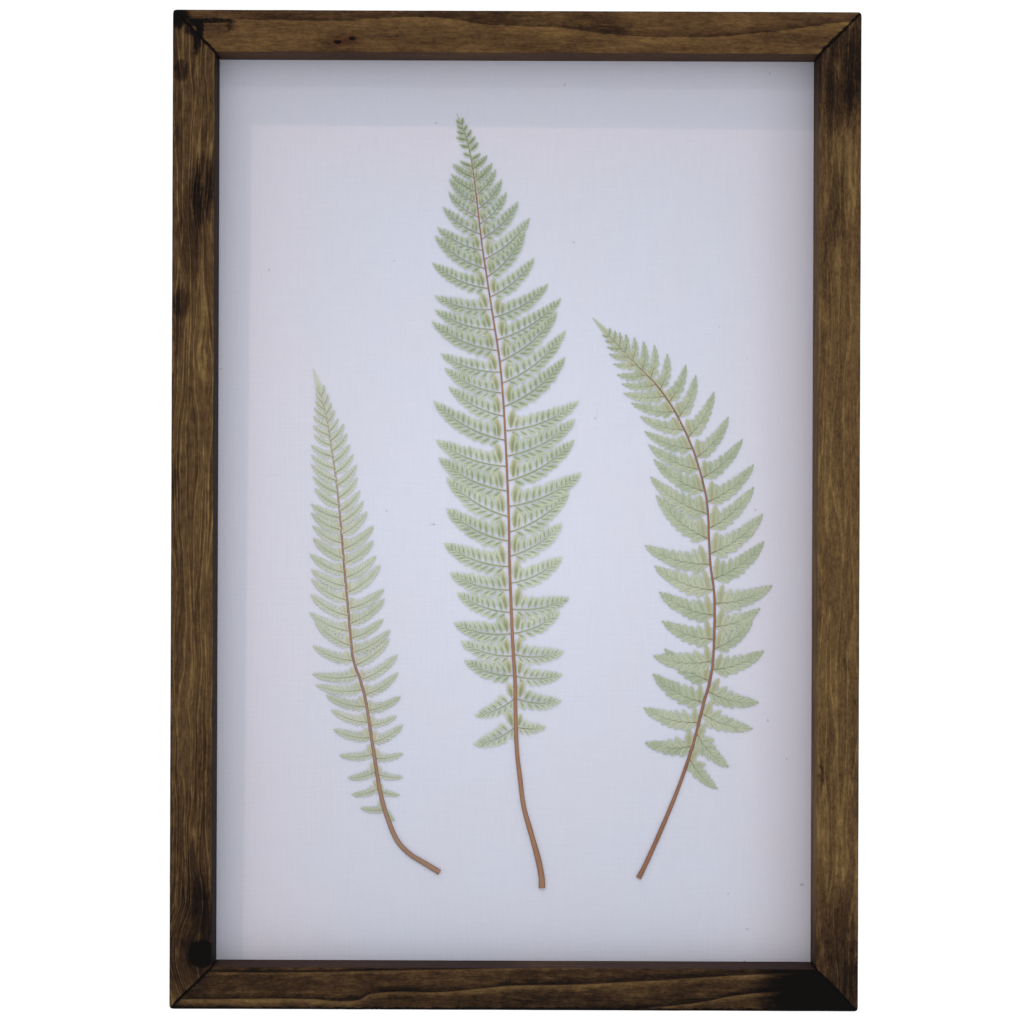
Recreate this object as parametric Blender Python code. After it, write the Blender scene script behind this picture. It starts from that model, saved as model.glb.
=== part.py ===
"""Three pressed fern fronds on a linen-covered board, set back in a mitred frame of stained pine.

Metres, +Z up, and the front faces -Y. The origin is the middle of the bottom rail's underside,
halfway through the frame's depth. Positive x is on the right of someone who faces the picture.
Frond places are in millimetres in the plane of the picture: x from the middle, z from the bottom edge.
"""

import math

import bmesh
import bpy
from mathutils import Vector
from mathutils.geometry import delaunay_2d_cdt

MM = 0.001

# The board is a 12 by 18 inch sheet, and the rails are cut to hold it.
BOARD_W = 304.8
BOARD_H = 457.2
LAP = 4.2
RAIL_FACE = 20.8
RAIL_DEPTH = 32.0
RECESS = 14.0
EDGE_RADIUS = 0.9

GAP = 0.3
SEAT_CLEARANCE = 0.5
LINEN = 0.5
LINEN_HEM = 18.0
BOARD_THICK = 4.0
PANEL_THICK = 3.0

FRAME_W = BOARD_W + 2 * (RAIL_FACE - LAP)
FRAME_H = BOARD_H + 2 * (RAIL_FACE - LAP)
FRONT_Y = -RAIL_DEPTH / 2
BACK_Y = RAIL_DEPTH / 2
LIP_BACK_Y = FRONT_Y + RECESS
REBATE = RAIL_FACE - LAP - SEAT_CLEARANCE

# Layers behind the lip, from the linen's face to the back panel.
LINEN_Y = LIP_BACK_Y + GAP
BOARD_Y = LINEN_Y + LINEN + GAP
HEM_Y = BOARD_Y + BOARD_THICK + GAP
PANEL_Y = HEM_Y + LINEN + GAP
TAB_Y = PANEL_Y + PANEL_THICK + GAP

# Flat steel tabs pushed into the rebate's wall hold the layers in.
TAB_THICK = 0.5
TAB_WIDTH = 9.0
TAB_LENGTH = 13.0
TAB_IN_WOOD = 5.0

# Sawtooth hanger on the back of the top rail.
HANGER_LENGTH = 46.0
HANGER_HEIGHT = 9.0
HANGER_THICK = 0.8
HANGER_STAND_OFF = 1.7
HANGER_FOOT = 8.0
HANGER_RAMP = 2.0
TOOTH_PITCH = 2.8
TOOTH_DEPTH = 1.6
NAIL_RADIUS = 0.8
NAIL_LENGTH = 11.0
NAIL_HEAD_RADIUS = 2.1
NAIL_HEAD_THICK = 0.8
ROUND_SEGMENTS = 12
WELD = 0.001

# Settings of the flat union: keep each face's own triangles, and merge points closer than this.
CDT_INSIDE = 1
CDT_MERGE = 0.01

# Thickness of the pressed fronds: at a leaf's edge, along its rib, and on the stalk as a share of its width.
LEAF_EDGE = 0.35
LEAF_RIB = 0.75
STALK_HEIGHT_SHARE = 0.5
FROND_BACK_Y = LINEN_Y - GAP

# Each frond is one leaf. stalk: (x, z, width) from the tip down. left and right: (z of the foot on the
# stalk, x of the tip, z of the tip) of each side leaf, from the top down. breadth and reach give a side
# leaf's width from its length, and ear is the share of the space above it that its first lobe fills.
FROND_LEFT = {
    "stalk": [
        (-101.0, 316.0, 0.3), (-98.0, 306.0, 0.5), (-94.0, 290.0, 0.8), (-92.3, 280.0, 0.9),
        (-89.3, 260.0, 1.1), (-87.1, 240.0, 1.2), (-85.4, 220.0, 1.3), (-83.5, 200.0, 1.4),
        (-81.6, 180.0, 1.5), (-80.3, 170.0, 1.5), (-76.7, 160.0, 1.6), (-74.1, 150.0, 1.6),
        (-70.9, 130.0, 1.8), (-67.7, 110.0, 2.0), (-65.6, 100.0, 2.2), (-62.4, 90.0, 2.3),
        (-57.8, 80.0, 2.4), (-51.5, 73.5, 2.5), (-45.6, 70.0, 2.6), (-36.9, 64.8, 2.6),
    ],
    "left": [
        (302.5, -99.0, 306.5), (299.0, -99.4, 303.0), (295.5, -99.8, 299.5), (291.3, -100.2, 296.0),
        (287.0, -100.7, 292.0), (282.5, -100.7, 287.3), (277.5, -100.4, 282.8), (272.0, -101.8, 277.4),
        (266.0, -101.7, 272.6), (260.0, -101.7, 267.9), (254.0, -100.7, 261.9), (247.6, -99.8, 255.9),
        (241.5, -101.8, 248.2), (235.3, -101.6, 243.9), (228.7, -100.9, 237.4), (221.2, -100.7, 231.4),
        (214.0, -102.2, 223.3), (207.3, -101.4, 215.5), (200.2, -101.4, 210.8), (192.5, -101.7, 203.1),
        (184.8, -102.4, 194.2), (177.5, -99.3, 189.5), (170.2, -100.6, 177.5), (163.0, -100.8, 163.5),
        (155.8, -99.2, 158.0), (147.2, -93.9, 153.0), (139.4, -91.3, 145.7), (131.8, -90.2, 136.0),
        (123.8, -87.3, 123.0), (115.2, -83.0, 111.7), (106.7, -81.2, 103.3), (96.2, -76.6, 96.8),
    ],
    "right": [
        (302.0, -95.6, 307.5), (297.5, -93.6, 303.0), (293.0, -92.0, 298.7), (289.0, -90.4, 295.0),
        (284.5, -88.4, 290.9), (279.8, -85.6, 288.0), (274.8, -84.0, 283.5), (269.3, -82.7, 277.8),
        (263.8, -80.9, 273.0), (257.5, -79.2, 267.7), (251.3, -78.8, 261.5), (244.8, -77.5, 254.8),
        (239.2, -75.6, 249.8), (233.3, -73.9, 244.4), (225.7, -70.6, 237.4), (218.6, -70.6, 230.2),
        (211.5, -69.2, 222.7), (204.0, -67.2, 218.0), (196.1, -65.2, 206.0), (188.6, -65.0, 201.2),
        (181.3, -65.6, 191.0), (174.3, -62.0, 185.5), (167.8, -62.5, 181.2), (160.7, -58.4, 173.3),
        (153.0, -58.2, 164.3), (145.3, -56.8, 152.5), (138.0, -58.8, 142.7), (129.5, -55.7, 138.3),
        (121.6, -55.4, 124.0), (113.8, -55.6, 112.3), (105.5, -57.0, 103.3), (96.5, -59.2, 90.5),
    ],
    "breadth": 7.6,
    "reach": 14.0,
    "ear": 0.5,
}
FROND_MIDDLE = {
    "stalk": [
        (-29.8, 443.3, 0.3), (-27.3, 437.0, 0.4), (-24.6, 430.0, 0.6), (-22.5, 420.0, 0.7),
        (-20.9, 410.0, 0.8), (-19.7, 400.0, 0.8), (-17.3, 380.0, 0.9), (-14.3, 360.0, 1.0),
        (-11.1, 340.0, 1.1), (-8.0, 320.0, 1.2), (-6.1, 300.0, 1.2), (-4.9, 280.0, 1.3),
        (-3.9, 260.0, 1.4), (-3.1, 240.0, 1.5), (-2.7, 220.0, 1.7), (-1.9, 200.0, 1.8),
        (-1.0, 180.0, 1.9), (0.3, 160.0, 2.0), (0.7, 140.0, 2.1), (1.4, 125.0, 2.2),
        (3.0, 111.6, 2.3), (4.8, 98.0, 2.4), (8.4, 85.0, 2.6), (11.9, 72.5, 2.8),
        (13.9, 62.7, 3.0), (14.1, 57.2, 3.0),
    ],
    "left": [
        (438.2, -30.0, 440.0), (435.6, -29.6, 437.0), (433.2, -29.7, 434.3), (430.2, -29.9, 431.4),
        (426.5, -28.1, 427.7), (422.0, -26.5, 423.7), (417.0, -28.1, 419.6), (411.3, -31.5, 418.0),
        (404.5, -32.4, 413.0), (398.5, -33.1, 410.5), (391.5, -33.6, 404.0), (383.0, -36.3, 396.5),
        (375.0, -39.1, 386.3), (365.8, -40.3, 382.0), (356.0, -41.5, 368.5), (345.5, -40.4, 352.2),
        (335.5, -40.3, 345.2), (325.0, -41.8, 339.3), (314.3, -37.3, 323.3), (303.8, -35.2, 316.0),
        (292.3, -33.2, 307.0), (280.3, -40.7, 299.5), (267.3, -39.4, 280.4), (255.0, -38.1, 271.4),
        (242.2, -34.0, 261.5), (230.0, -33.9, 246.0), (217.3, -35.1, 228.7), (205.8, -32.0, 214.0),
        (194.5, -28.5, 204.2), (184.0, -30.1, 189.1), (172.8, -26.7, 180.0), (163.0, -24.7, 170.5),
        (152.0, -19.6, 143.0), (137.8, -20.0, 128.6),
    ],
    "right": [
        (437.5, -27.0, 441.2), (434.8, -24.8, 437.6), (431.5, -22.7, 435.2), (428.0, -20.7, 431.9),
        (424.8, -19.2, 428.9), (420.5, -18.0, 423.4), (415.8, -14.8, 422.5), (409.5, -12.2, 418.5),
        (402.5, -10.4, 415.5), (395.5, -7.4, 410.4), (388.0, -5.0, 404.0), (380.5, 0.8, 399.2),
        (370.5, 6.6, 391.2), (361.5, 4.3, 385.0), (351.7, 8.9, 371.2), (341.5, 15.9, 358.2),
        (330.3, 22.4, 351.2), (319.5, 20.4, 344.2), (308.7, 24.8, 335.0), (297.0, 24.5, 321.7),
        (285.0, 31.4, 300.0), (272.3, 29.6, 290.8), (260.0, 29.3, 280.6), (247.3, 32.7, 264.2),
        (234.5, 26.6, 254.6), (222.5, 23.1, 239.0), (209.0, 23.4, 222.2), (196.2, 26.8, 202.0),
        (184.0, 22.3, 195.0), (173.7, 24.4, 175.2), (163.0, 23.7, 163.8), (151.8, 23.3, 150.6),
        (137.5, 15.6, 137.5),
    ],
    "breadth": 11.5,
    "reach": 15.0,
    "ear": 0.75,
}
FROND_RIGHT = {
    "stalk": [
        (38.3, 341.6, 0.3), (44.0, 335.5, 0.5), (50.0, 329.0, 0.6), (60.0, 318.5, 0.8),
        (70.0, 308.5, 0.9), (78.0, 297.5, 1.0), (84.2, 286.0, 1.1), (89.0, 275.0, 1.1),
        (93.3, 261.0, 1.2), (95.9, 248.0, 1.2), (96.8, 230.0, 1.3), (97.6, 218.0, 1.3),
        (99.4, 205.0, 1.4), (99.7, 190.0, 1.5), (98.9, 170.0, 1.5), (97.3, 160.0, 1.6),
        (94.5, 150.0, 1.6), (89.5, 130.0, 1.7), (82.9, 110.0, 1.9), (74.9, 90.0, 2.1),
        (66.1, 70.0, 2.3), (62.2, 62.3, 2.4),
    ],
    "left": [
        (332.5, 43.4, 332.8), (329.8, 44.6, 330.0), (326.3, 45.6, 327.0), (322.3, 46.7, 323.5),
        (318.3, 48.9, 318.6), (313.4, 50.7, 313.2), (308.4, 53.2, 308.6), (302.8, 54.0, 304.0),
        (295.0, 57.9, 299.2), (286.0, 62.4, 292.5), (276.5, 64.6, 285.0), (266.3, 66.6, 278.2),
        (255.3, 69.2, 271.0), (244.0, 67.6, 262.2), (231.5, 70.5, 253.0), (219.0, 65.0, 228.0),
        (206.0, 69.8, 217.8), (193.5, 72.2, 204.8), (181.5, 73.6, 190.4), (170.8, 69.4, 173.2),
        (160.8, 75.0, 176.6), (150.0, 69.2, 164.0), (140.0, 64.7, 147.0), (128.3, 65.4, 129.8),
    ],
    "right": [
        (333.0, 46.9, 336.4), (330.3, 49.4, 335.2), (327.4, 51.8, 334.2), (324.4, 54.9, 333.3),
        (320.4, 59.1, 331.7), (315.6, 63.6, 329.6), (311.5, 69.1, 327.8), (306.0, 75.6, 323.6),
        (299.8, 84.8, 318.2), (292.0, 89.8, 312.9), (282.3, 98.8, 304.7), (272.0, 106.1, 292.2),
        (262.0, 113.1, 281.2), (250.0, 118.8, 268.5), (236.8, 118.8, 257.3), (224.2, 123.4, 243.9),
        (211.5, 124.1, 230.2), (199.5, 128.1, 208.2), (187.7, 122.2, 197.0), (176.7, 118.4, 191.5),
        (166.5, 124.1, 175.7), (155.8, 121.6, 150.1), (144.8, 118.8, 137.0), (135.0, 106.8, 118.0),
        (122.5, 101.4, 107.0),
    ],
    "breadth": 13.0,
    "reach": 22.0,
    "ear": 0.7,
}

# Half width of a side leaf, as a share of its fullest, at shares of its length. Its upper half is a little
# narrower than its lower one, and its rib sags by a share of its length.
LEAF_TAPER = [(0.0, 0.3), (0.1, 0.86), (0.38, 1.0), (0.75, 0.62), (1.0, 0.0)]
UPPER_SHARE = 0.48
LEAF_SAG = 0.16

# Where the outline, the rib and the stalk have their points. A leaf shorter than SMALL_LEAF has fewer.
SMALL_LEAF = 9.0
FULL_STATIONS = (0.1, 0.38, 0.75)
SMALL_STATIONS = (0.15, 0.55)
RIB_STATIONS = (0.3, 0.65)
STALK_STEP = 13.0

# The first lobe stands out from the stalk by a share of the leaf's width and joins the blade at EAR_JOINT.
EAR_OUT = 0.3
EAR_JOINT = 0.14

# The blade thins out from the rib, and the stalk's round back falls off towards its sides.
RIB_SAMPLES = 12
NARROWEST_BLADE = 0.3
STALK_SHOULDER = 0.35
STALK_HOLD = 1.3


def clear_scene():
    """Removes every object that the file starts with."""
    for obj in list(bpy.data.objects):
        bpy.data.objects.remove(obj)


def material(name, colour, roughness, metallic=0.0):
    """A Principled material of one colour."""
    made = bpy.data.materials.new(name)
    made.use_nodes = True
    shader = made.node_tree.nodes["Principled BSDF"]
    shader.inputs["Base Color"].default_value = (*colour, 1.0)
    shader.inputs["Roughness"].default_value = roughness
    shader.inputs["Metallic"].default_value = metallic
    return made


def finish_object(name, mesh_builder, look):
    """Makes a named object from a bmesh whose points are in millimetres."""
    bmesh.ops.recalc_face_normals(mesh_builder, faces=mesh_builder.faces)
    bmesh.ops.scale(mesh_builder, vec=(MM, MM, MM), verts=mesh_builder.verts)
    mesh = bpy.data.meshes.new(name)
    mesh_builder.to_mesh(mesh)
    mesh_builder.free()
    mesh.materials.append(look)
    obj = bpy.data.objects.new(name, mesh)
    bpy.context.scene.collection.objects.link(obj)
    return obj


def add_box(builder, low, high):
    """Adds a closed box between two corners."""
    corners = [
        builder.verts.new((x, y, z))
        for x in (low[0], high[0])
        for y in (low[1], high[1])
        for z in (low[2], high[2])
    ]
    for ring in ((0, 1, 3, 2), (4, 6, 7, 5), (0, 4, 5, 1), (2, 3, 7, 6), (0, 2, 6, 4), (1, 5, 7, 3)):
        builder.faces.new([corners[i] for i in ring])


def add_cylinder(builder, x, z, radius, y0, y1):
    """Adds a closed cylinder along Y."""
    turns = [2 * math.pi * i / ROUND_SEGMENTS for i in range(ROUND_SEGMENTS)]
    circle = [(x + radius * math.cos(turn), z + radius * math.sin(turn)) for turn in turns]
    rings = [[builder.verts.new((px, y, pz)) for px, pz in circle] for y in (y0, y1)]
    bridge(builder, rings[0], rings[1])
    builder.faces.new(rings[0])
    builder.faces.new(rings[1])


def bridge(builder, ring_a, ring_b):
    """Joins two rings of as many points with quads."""
    count = len(ring_a)
    for i in range(count):
        j = (i + 1) % count
        builder.faces.new((ring_a[i], ring_a[j], ring_b[j], ring_b[i]))


def cut(obj, cutter):
    """Cuts one object out of another and hides the cutter."""
    cutter.hide_render = True
    cutter.display_type = "WIRE"
    boolean = obj.modifiers.new("cut_" + cutter.name, "BOOLEAN")
    boolean.operation = "DIFFERENCE"
    boolean.object = cutter


def eased(corner, before, after, radius=EDGE_RADIUS, steps=2):
    """Points of a rounded corner between two straight runs of a profile."""
    corner, before, after = Vector(corner), Vector(before), Vector(after)
    start = corner + (before - corner).normalized() * radius
    end = corner + (after - corner).normalized() * radius
    centre = start + end - corner
    points = []
    for i in range(steps + 1):
        t = i / steps
        towards = (start * (1 - t) + end * t) - centre
        points.append(tuple(centre + towards.normalized() * radius))
    return points


def rail_profile():
    """Section of a rail as (distance in from the outer edge, y), with its rebate and eased corners."""
    corners = [
        (0.0, FRONT_Y),
        (RAIL_FACE, FRONT_Y),
        (RAIL_FACE, LIP_BACK_Y),
        (REBATE, LIP_BACK_Y),
        (REBATE, BACK_Y),
        (0.0, BACK_Y),
    ]
    rounded = (0, 1, 5)
    points = []
    for i, corner in enumerate(corners):
        if i in rounded:
            points += eased(corner, corners[i - 1], corners[(i + 1) % len(corners)])
        else:
            points.append(corner)
    return points


def build_rail(name, length, place, look):
    """Sweeps the section along a rail with mitred ends. place turns (along, inward, y) into x, y, z."""
    builder = bmesh.new()
    mitre_clearance = GAP / math.sqrt(2)
    ends = []
    for side in (-1, 1):
        ring = []
        for inward, y in rail_profile():
            along = side * (length / 2 - inward - mitre_clearance)
            ring.append(builder.verts.new(place(along, inward, y)))
        ends.append(ring)
    bridge(builder, ends[0], ends[1])
    builder.faces.new(ends[0])
    builder.faces.new(ends[1])
    return finish_object(name, builder, look)


def build_rails(look):
    """The four rails, by side."""
    places = {
        "top": (FRAME_W, lambda along, inward, y: (along, y, FRAME_H - inward)),
        "bottom": (FRAME_W, lambda along, inward, y: (along, y, inward)),
        "left": (FRAME_H, lambda along, inward, y: (inward - FRAME_W / 2, y, FRAME_H / 2 + along)),
        "right": (FRAME_H, lambda along, inward, y: (FRAME_W / 2 - inward, y, FRAME_H / 2 + along)),
    }
    return {
        side: (build_rail("rail_" + side, length, place, look), place)
        for side, (length, place) in places.items()
    }


def tab_outline(grow=0.0):
    """Outline of a tab as (across, in from the rail's outer edge), its point in the wood."""
    half = TAB_WIDTH / 2 + grow
    point = REBATE - TAB_IN_WOOD - grow
    shoulder = point + half / 2
    nose = REBATE - TAB_IN_WOOD + TAB_LENGTH
    return [(-half, shoulder), (0.0, point), (half, shoulder), (half, nose), (-half, nose)]


def add_tab(builder, place, along, outline, y0, y1):
    """Adds a tab's closed outline between two depths."""
    rings = [
        [builder.verts.new(place(along + across, inward, y)) for across, inward in outline]
        for y in (y0, y1)
    ]
    bridge(builder, rings[0], rings[1])
    builder.faces.new(rings[0])
    builder.faces.new(rings[1])


def build_tabs(rails, wood, steel):
    """The holding tabs and their slots: two on a short rail and three on a long one."""
    spots = {
        "top": (-90.0, 90.0),
        "bottom": (-90.0, 90.0),
        "left": (-150.0, 0.0, 150.0),
        "right": (-150.0, 0.0, 150.0),
    }
    for side, stations in spots.items():
        rail, place = rails[side]
        slots = bmesh.new()
        for number, along in enumerate(stations, 1):
            tab = bmesh.new()
            add_tab(tab, place, along, tab_outline(), TAB_Y, TAB_Y + TAB_THICK)
            finish_object(f"tab_{side}_{number}", tab, steel)
            add_tab(slots, place, along, tab_outline(GAP), TAB_Y - GAP, TAB_Y + TAB_THICK + GAP)
        cut(rail, finish_object(f"slots_{side}", slots, wood))


def rectangle(builder, half_w, half_h, y):
    """A ring of four points round the middle of the board."""
    middle = FRAME_H / 2
    corners = ((-1, -1), (1, -1), (1, 1), (-1, 1))
    return [builder.verts.new((sx * half_w, y, middle + sz * half_h)) for sx, sz in corners]


def build_linen(look):
    """The cloth: its face, its turned edges and the hem glued down behind the board."""
    builder = bmesh.new()
    half_w, half_h = BOARD_W / 2, BOARD_H / 2
    back = HEM_Y + LINEN
    rings = [
        rectangle(builder, half_w, half_h, LINEN_Y),
        rectangle(builder, half_w, half_h, back),
        rectangle(builder, half_w - LINEN_HEM, half_h - LINEN_HEM, back),
        rectangle(builder, half_w - LINEN_HEM, half_h - LINEN_HEM, HEM_Y),
        rectangle(builder, half_w - LINEN, half_h - LINEN, HEM_Y),
        rectangle(builder, half_w - LINEN, half_h - LINEN, LINEN_Y + LINEN),
    ]
    for first, second in zip(rings, rings[1:]):
        bridge(builder, first, second)
    builder.faces.new(rings[0])
    builder.faces.new(rings[-1])
    return finish_object("linen_cover", builder, look)


def build_sheet(name, half_w, half_h, y0, y1, look):
    """A plain rectangular sheet behind the lip."""
    builder = bmesh.new()
    middle = FRAME_H / 2
    add_box(builder, (-half_w, y0, middle - half_h), (half_w, y1, middle + half_h))
    return finish_object(name, builder, look)


def hanger_stations():
    """(x, y of the near face, z of the lower edge) along the hanger, whose middle is raised and toothed."""
    low = FRAME_H - REBATE / 2 - HANGER_HEIGHT / 2
    near = BACK_Y + GAP
    raised = near + HANGER_STAND_OFF
    half = HANGER_LENGTH / 2
    flat_end = half - HANGER_FOOT
    ramp_end = flat_end - HANGER_RAMP
    teeth = int(2 * ramp_end / TOOTH_PITCH)
    first = -teeth * TOOTH_PITCH / 2
    toothed = []
    for i in range(2 * teeth + 1):
        notch = TOOTH_DEPTH if i % 2 else 0.0
        toothed.append((first + i * TOOTH_PITCH / 2, raised, low + notch))
    left_foot = [(-half, near, low), (-flat_end, near, low), (-ramp_end, raised, low)]
    right_foot = [(ramp_end, raised, low), (flat_end, near, low), (half, near, low)]
    return left_foot + toothed + right_foot


def build_hanger(top_rail, wood, steel):
    """The sawtooth hanger and its two nails, with their holes."""
    high = FRAME_H - REBATE / 2 + HANGER_HEIGHT / 2
    builder = bmesh.new()
    rings = []
    for x, y, low in hanger_stations():
        far = y + HANGER_THICK
        corners = ((x, y, low), (x, far, low), (x, far, high), (x, y, high))
        rings.append([builder.verts.new(corner) for corner in corners])
    for first, second in zip(rings, rings[1:]):
        bridge(builder, first, second)
    builder.faces.new(rings[0])
    builder.faces.new(rings[-1])
    hanger = finish_object("sawtooth_hanger", builder, steel)

    nail_x = HANGER_LENGTH / 2 - HANGER_FOOT / 2
    nail_z = FRAME_H - REBATE / 2
    under_head = BACK_Y + GAP + HANGER_THICK + GAP
    holes = {hanger: bmesh.new(), top_rail: bmesh.new()}
    for name, x in (("left", -nail_x), ("right", nail_x)):
        nail = bmesh.new()
        add_nail(nail, x, nail_z, under_head)
        finish_object("hanger_nail_" + name, nail, steel)
        add_cylinder(holes[hanger], x, nail_z, NAIL_RADIUS + GAP, BACK_Y - GAP, under_head + GAP)
        bottom = under_head - NAIL_LENGTH - GAP
        add_cylinder(holes[top_rail], x, nail_z, NAIL_RADIUS + GAP, bottom, BACK_Y + GAP / 2)
    for obj, shape in holes.items():
        cut(obj, finish_object("nail_holes_" + obj.name, shape, wood))


def add_nail(builder, x, z, under_head):
    """A wire nail along Y with a flat head and a short point."""
    profile = [
        (0.0, under_head - NAIL_LENGTH),
        (NAIL_RADIUS, under_head - NAIL_LENGTH + 2 * NAIL_RADIUS),
        (NAIL_RADIUS, under_head),
        (NAIL_HEAD_RADIUS, under_head),
        (NAIL_HEAD_RADIUS, under_head + NAIL_HEAD_THICK / 2),
        (NAIL_HEAD_RADIUS - NAIL_HEAD_THICK, under_head + NAIL_HEAD_THICK),
        (0.0, under_head + NAIL_HEAD_THICK),
    ]
    turned = [builder.verts.new((radius + x, y, z)) for radius, y in profile]
    edges = [builder.edges.new(pair) for pair in zip(turned, turned[1:])]
    bmesh.ops.spin(
        builder,
        geom=turned + edges,
        cent=(x, 0.0, z),
        axis=(0.0, 1.0, 0.0),
        angle=2 * math.pi,
        steps=ROUND_SEGMENTS,
    )
    bmesh.ops.remove_doubles(builder, verts=builder.verts, dist=WELD)


def stalk_at(stalk, z):
    """(x, width, slope dx/dz) of a stalk at a height: a smooth curve through its points."""
    i = max(0, min(len(stalk) - 2, sum(1 for point in stalk if point[1] > z) - 1))
    x0, z0, w0 = stalk[i]
    x1, z1, w1 = stalk[i + 1]
    before, after = stalk[max(i - 1, 0)], stalk[min(i + 2, len(stalk) - 1)]
    span = z1 - z0
    slope0 = (x1 - before[0]) / (z1 - before[1])
    slope1 = (after[0] - x0) / (after[1] - z0)
    t = (z - z0) / span
    x = (
        (2 * t**3 - 3 * t**2 + 1) * x0
        + (t**3 - 2 * t**2 + t) * span * slope0
        + (3 * t**2 - 2 * t**3) * x1
        + (t**3 - t**2) * span * slope1
    )
    slope = (
        (6 * t**2 - 6 * t) * (x0 - x1) / span
        + (3 * t**2 - 4 * t + 1) * slope0
        + (3 * t**2 - 2 * t) * slope1
    )
    return x, w0 + (w1 - w0) * t, slope


def taper(t):
    """Half width of a side leaf at a share of its length, from LEAF_TAPER."""
    for (t0, f0), (t1, f1) in zip(LEAF_TAPER, LEAF_TAPER[1:]):
        if t <= t1:
            return f0 + (f1 - f0) * (t - t0) / (t1 - t0)
    return 0.0


class SideLeaf:
    """One side leaf of a frond: a tapering blade along a rib that curves towards the frond's tip."""

    def __init__(self, frond, foot_z, tip, room_above):
        x, _, slope = stalk_at(frond["stalk"], foot_z)
        self.foot = Vector((x, foot_z))
        self.tip = Vector(tip)
        self.up = Vector((slope, 1.0)).normalized()
        chord = self.tip - self.foot
        self.length = chord.length
        self.down = Vector((-chord.y, chord.x)).normalized()
        if self.down.dot(self.up) > 0:
            self.down.negate()
        self.bend = self.foot + chord / 2 + self.down * self.length * LEAF_SAG
        self.width = frond["breadth"] * (1 - math.exp(-self.length / frond["reach"]))
        self.ear = room_above * frond["ear"] if self.length > 2 * SMALL_LEAF else 0.0

    def rib(self, t):
        """Point on the rib."""
        return self.foot * (1 - t) ** 2 + self.bend * 2 * t * (1 - t) + self.tip * t**2

    def below(self, t):
        """Unit vector across the blade at t, away from the frond's tip."""
        run = (self.bend - self.foot) * (1 - t) + (self.tip - self.bend) * t
        side = Vector((-run.y, run.x)).normalized()
        return side if side.dot(self.down) > 0 else -side

    def edge(self, t, upper):
        """Point on the blade's edge."""
        share = UPPER_SHARE if upper else 1 - UPPER_SHARE
        reach = self.width * share * taper(t)
        return self.rib(t) + self.below(t) * (-reach if upper else reach)

    def outline(self):
        """The blade's outline, with the raised first lobe that runs up beside the stalk."""
        stations = FULL_STATIONS if self.length > SMALL_LEAF else SMALL_STATIONS
        lower = [self.edge(t, False) for t in stations]
        upper = [self.edge(t, True) for t in reversed(stations)]
        outline = [self.foot] + lower + [self.tip] + upper
        if self.ear:
            outward = (self.rib(FULL_STATIONS[0]) - self.foot).normalized()
            outline[-1] = self.edge(EAR_JOINT, True)
            outline.append(self.foot + outward * self.width * EAR_OUT + self.up * self.ear)
        return outline

    def height(self, point):
        """Thickness of the pressed blade at a point: full on the rib and thin at the edge."""
        best = 0.0
        for i in range(RIB_SAMPLES + 1):
            t = i / RIB_SAMPLES
            reach = max(self.width / 2 * taper(t), NARROWEST_BLADE)
            best = max(best, 1 - (point - self.rib(t)).length / reach)
        return LEAF_EDGE + (LEAF_RIB - LEAF_EDGE) * max(best, 0.0)


def side_leaves(frond):
    """Every side leaf of a frond."""
    leaves = []
    for side in ("left", "right"):
        above = frond["stalk"][0][1]
        for foot_z, tip_x, tip_z in frond[side]:
            leaves.append(SideLeaf(frond, foot_z, (tip_x, tip_z), above - foot_z))
            above = foot_z
    return leaves


def stalk_rings(frond):
    """(left point, middle, right point) along the stalk, from the tip down."""
    stalk = frond["stalk"]
    top, bottom = stalk[0][1], stalk[-1][1]
    count = round((top - bottom) / STALK_STEP)
    rings = []
    for i in range(count + 1):
        z = top + (bottom - top) * i / count
        x, width, slope = stalk_at(stalk, z)
        middle = Vector((x, z))
        across = Vector((1.0, -slope)).normalized() * width / 2
        rings.append((middle - across, middle, middle + across))
    return rings


def stalk_height(stalk, point):
    """Thickness of the stalk at a point, or nothing beside it."""
    z = min(max(point.y, stalk[-1][1]), stalk[0][1])
    x, width, _ = stalk_at(stalk, z)
    off = abs(point.x - x) / (width / 2)
    if off > STALK_HOLD:
        return 0.0
    return width * STALK_HEIGHT_SHARE * (1 - STALK_SHOULDER * min(off, 1.0) ** 2)


def counter_clockwise(points):
    """The points in counter-clockwise order."""
    area = sum(a.x * b.y - b.x * a.y for a, b in zip(points, points[1:] + points[:1]))
    return points if area > 0 else points[::-1]


def open_sides(triangles):
    """The sides of flat triangles that no other triangle shares."""
    sides = {side for a, b, c in triangles for side in ((a, b), (b, c), (c, a))}
    return [(a, b) for a, b in sides if (b, a) not in sides]


def without_pinches(points, triangles):
    """Drops the smallest triangles where two parts of the outline would meet in a single point."""
    def area(triangle):
        a, b, c = (points[i] for i in triangle)
        return abs((b - a).cross(c - a))

    triangles = list(triangles)
    while True:
        rim = sorted(open_sides(triangles))
        starts = [a for a, _ in rim]
        pinched = sorted({a for a in starts if starts.count(a) > 1})
        if not pinched:
            return triangles
        spot = pinched[0]
        edges = {side for side in rim if spot in side}
        beside = [t for t in triangles if edges & {(t[0], t[1]), (t[1], t[2]), (t[2], t[0])}]
        triangles.remove(min(beside, key=area))


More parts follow.
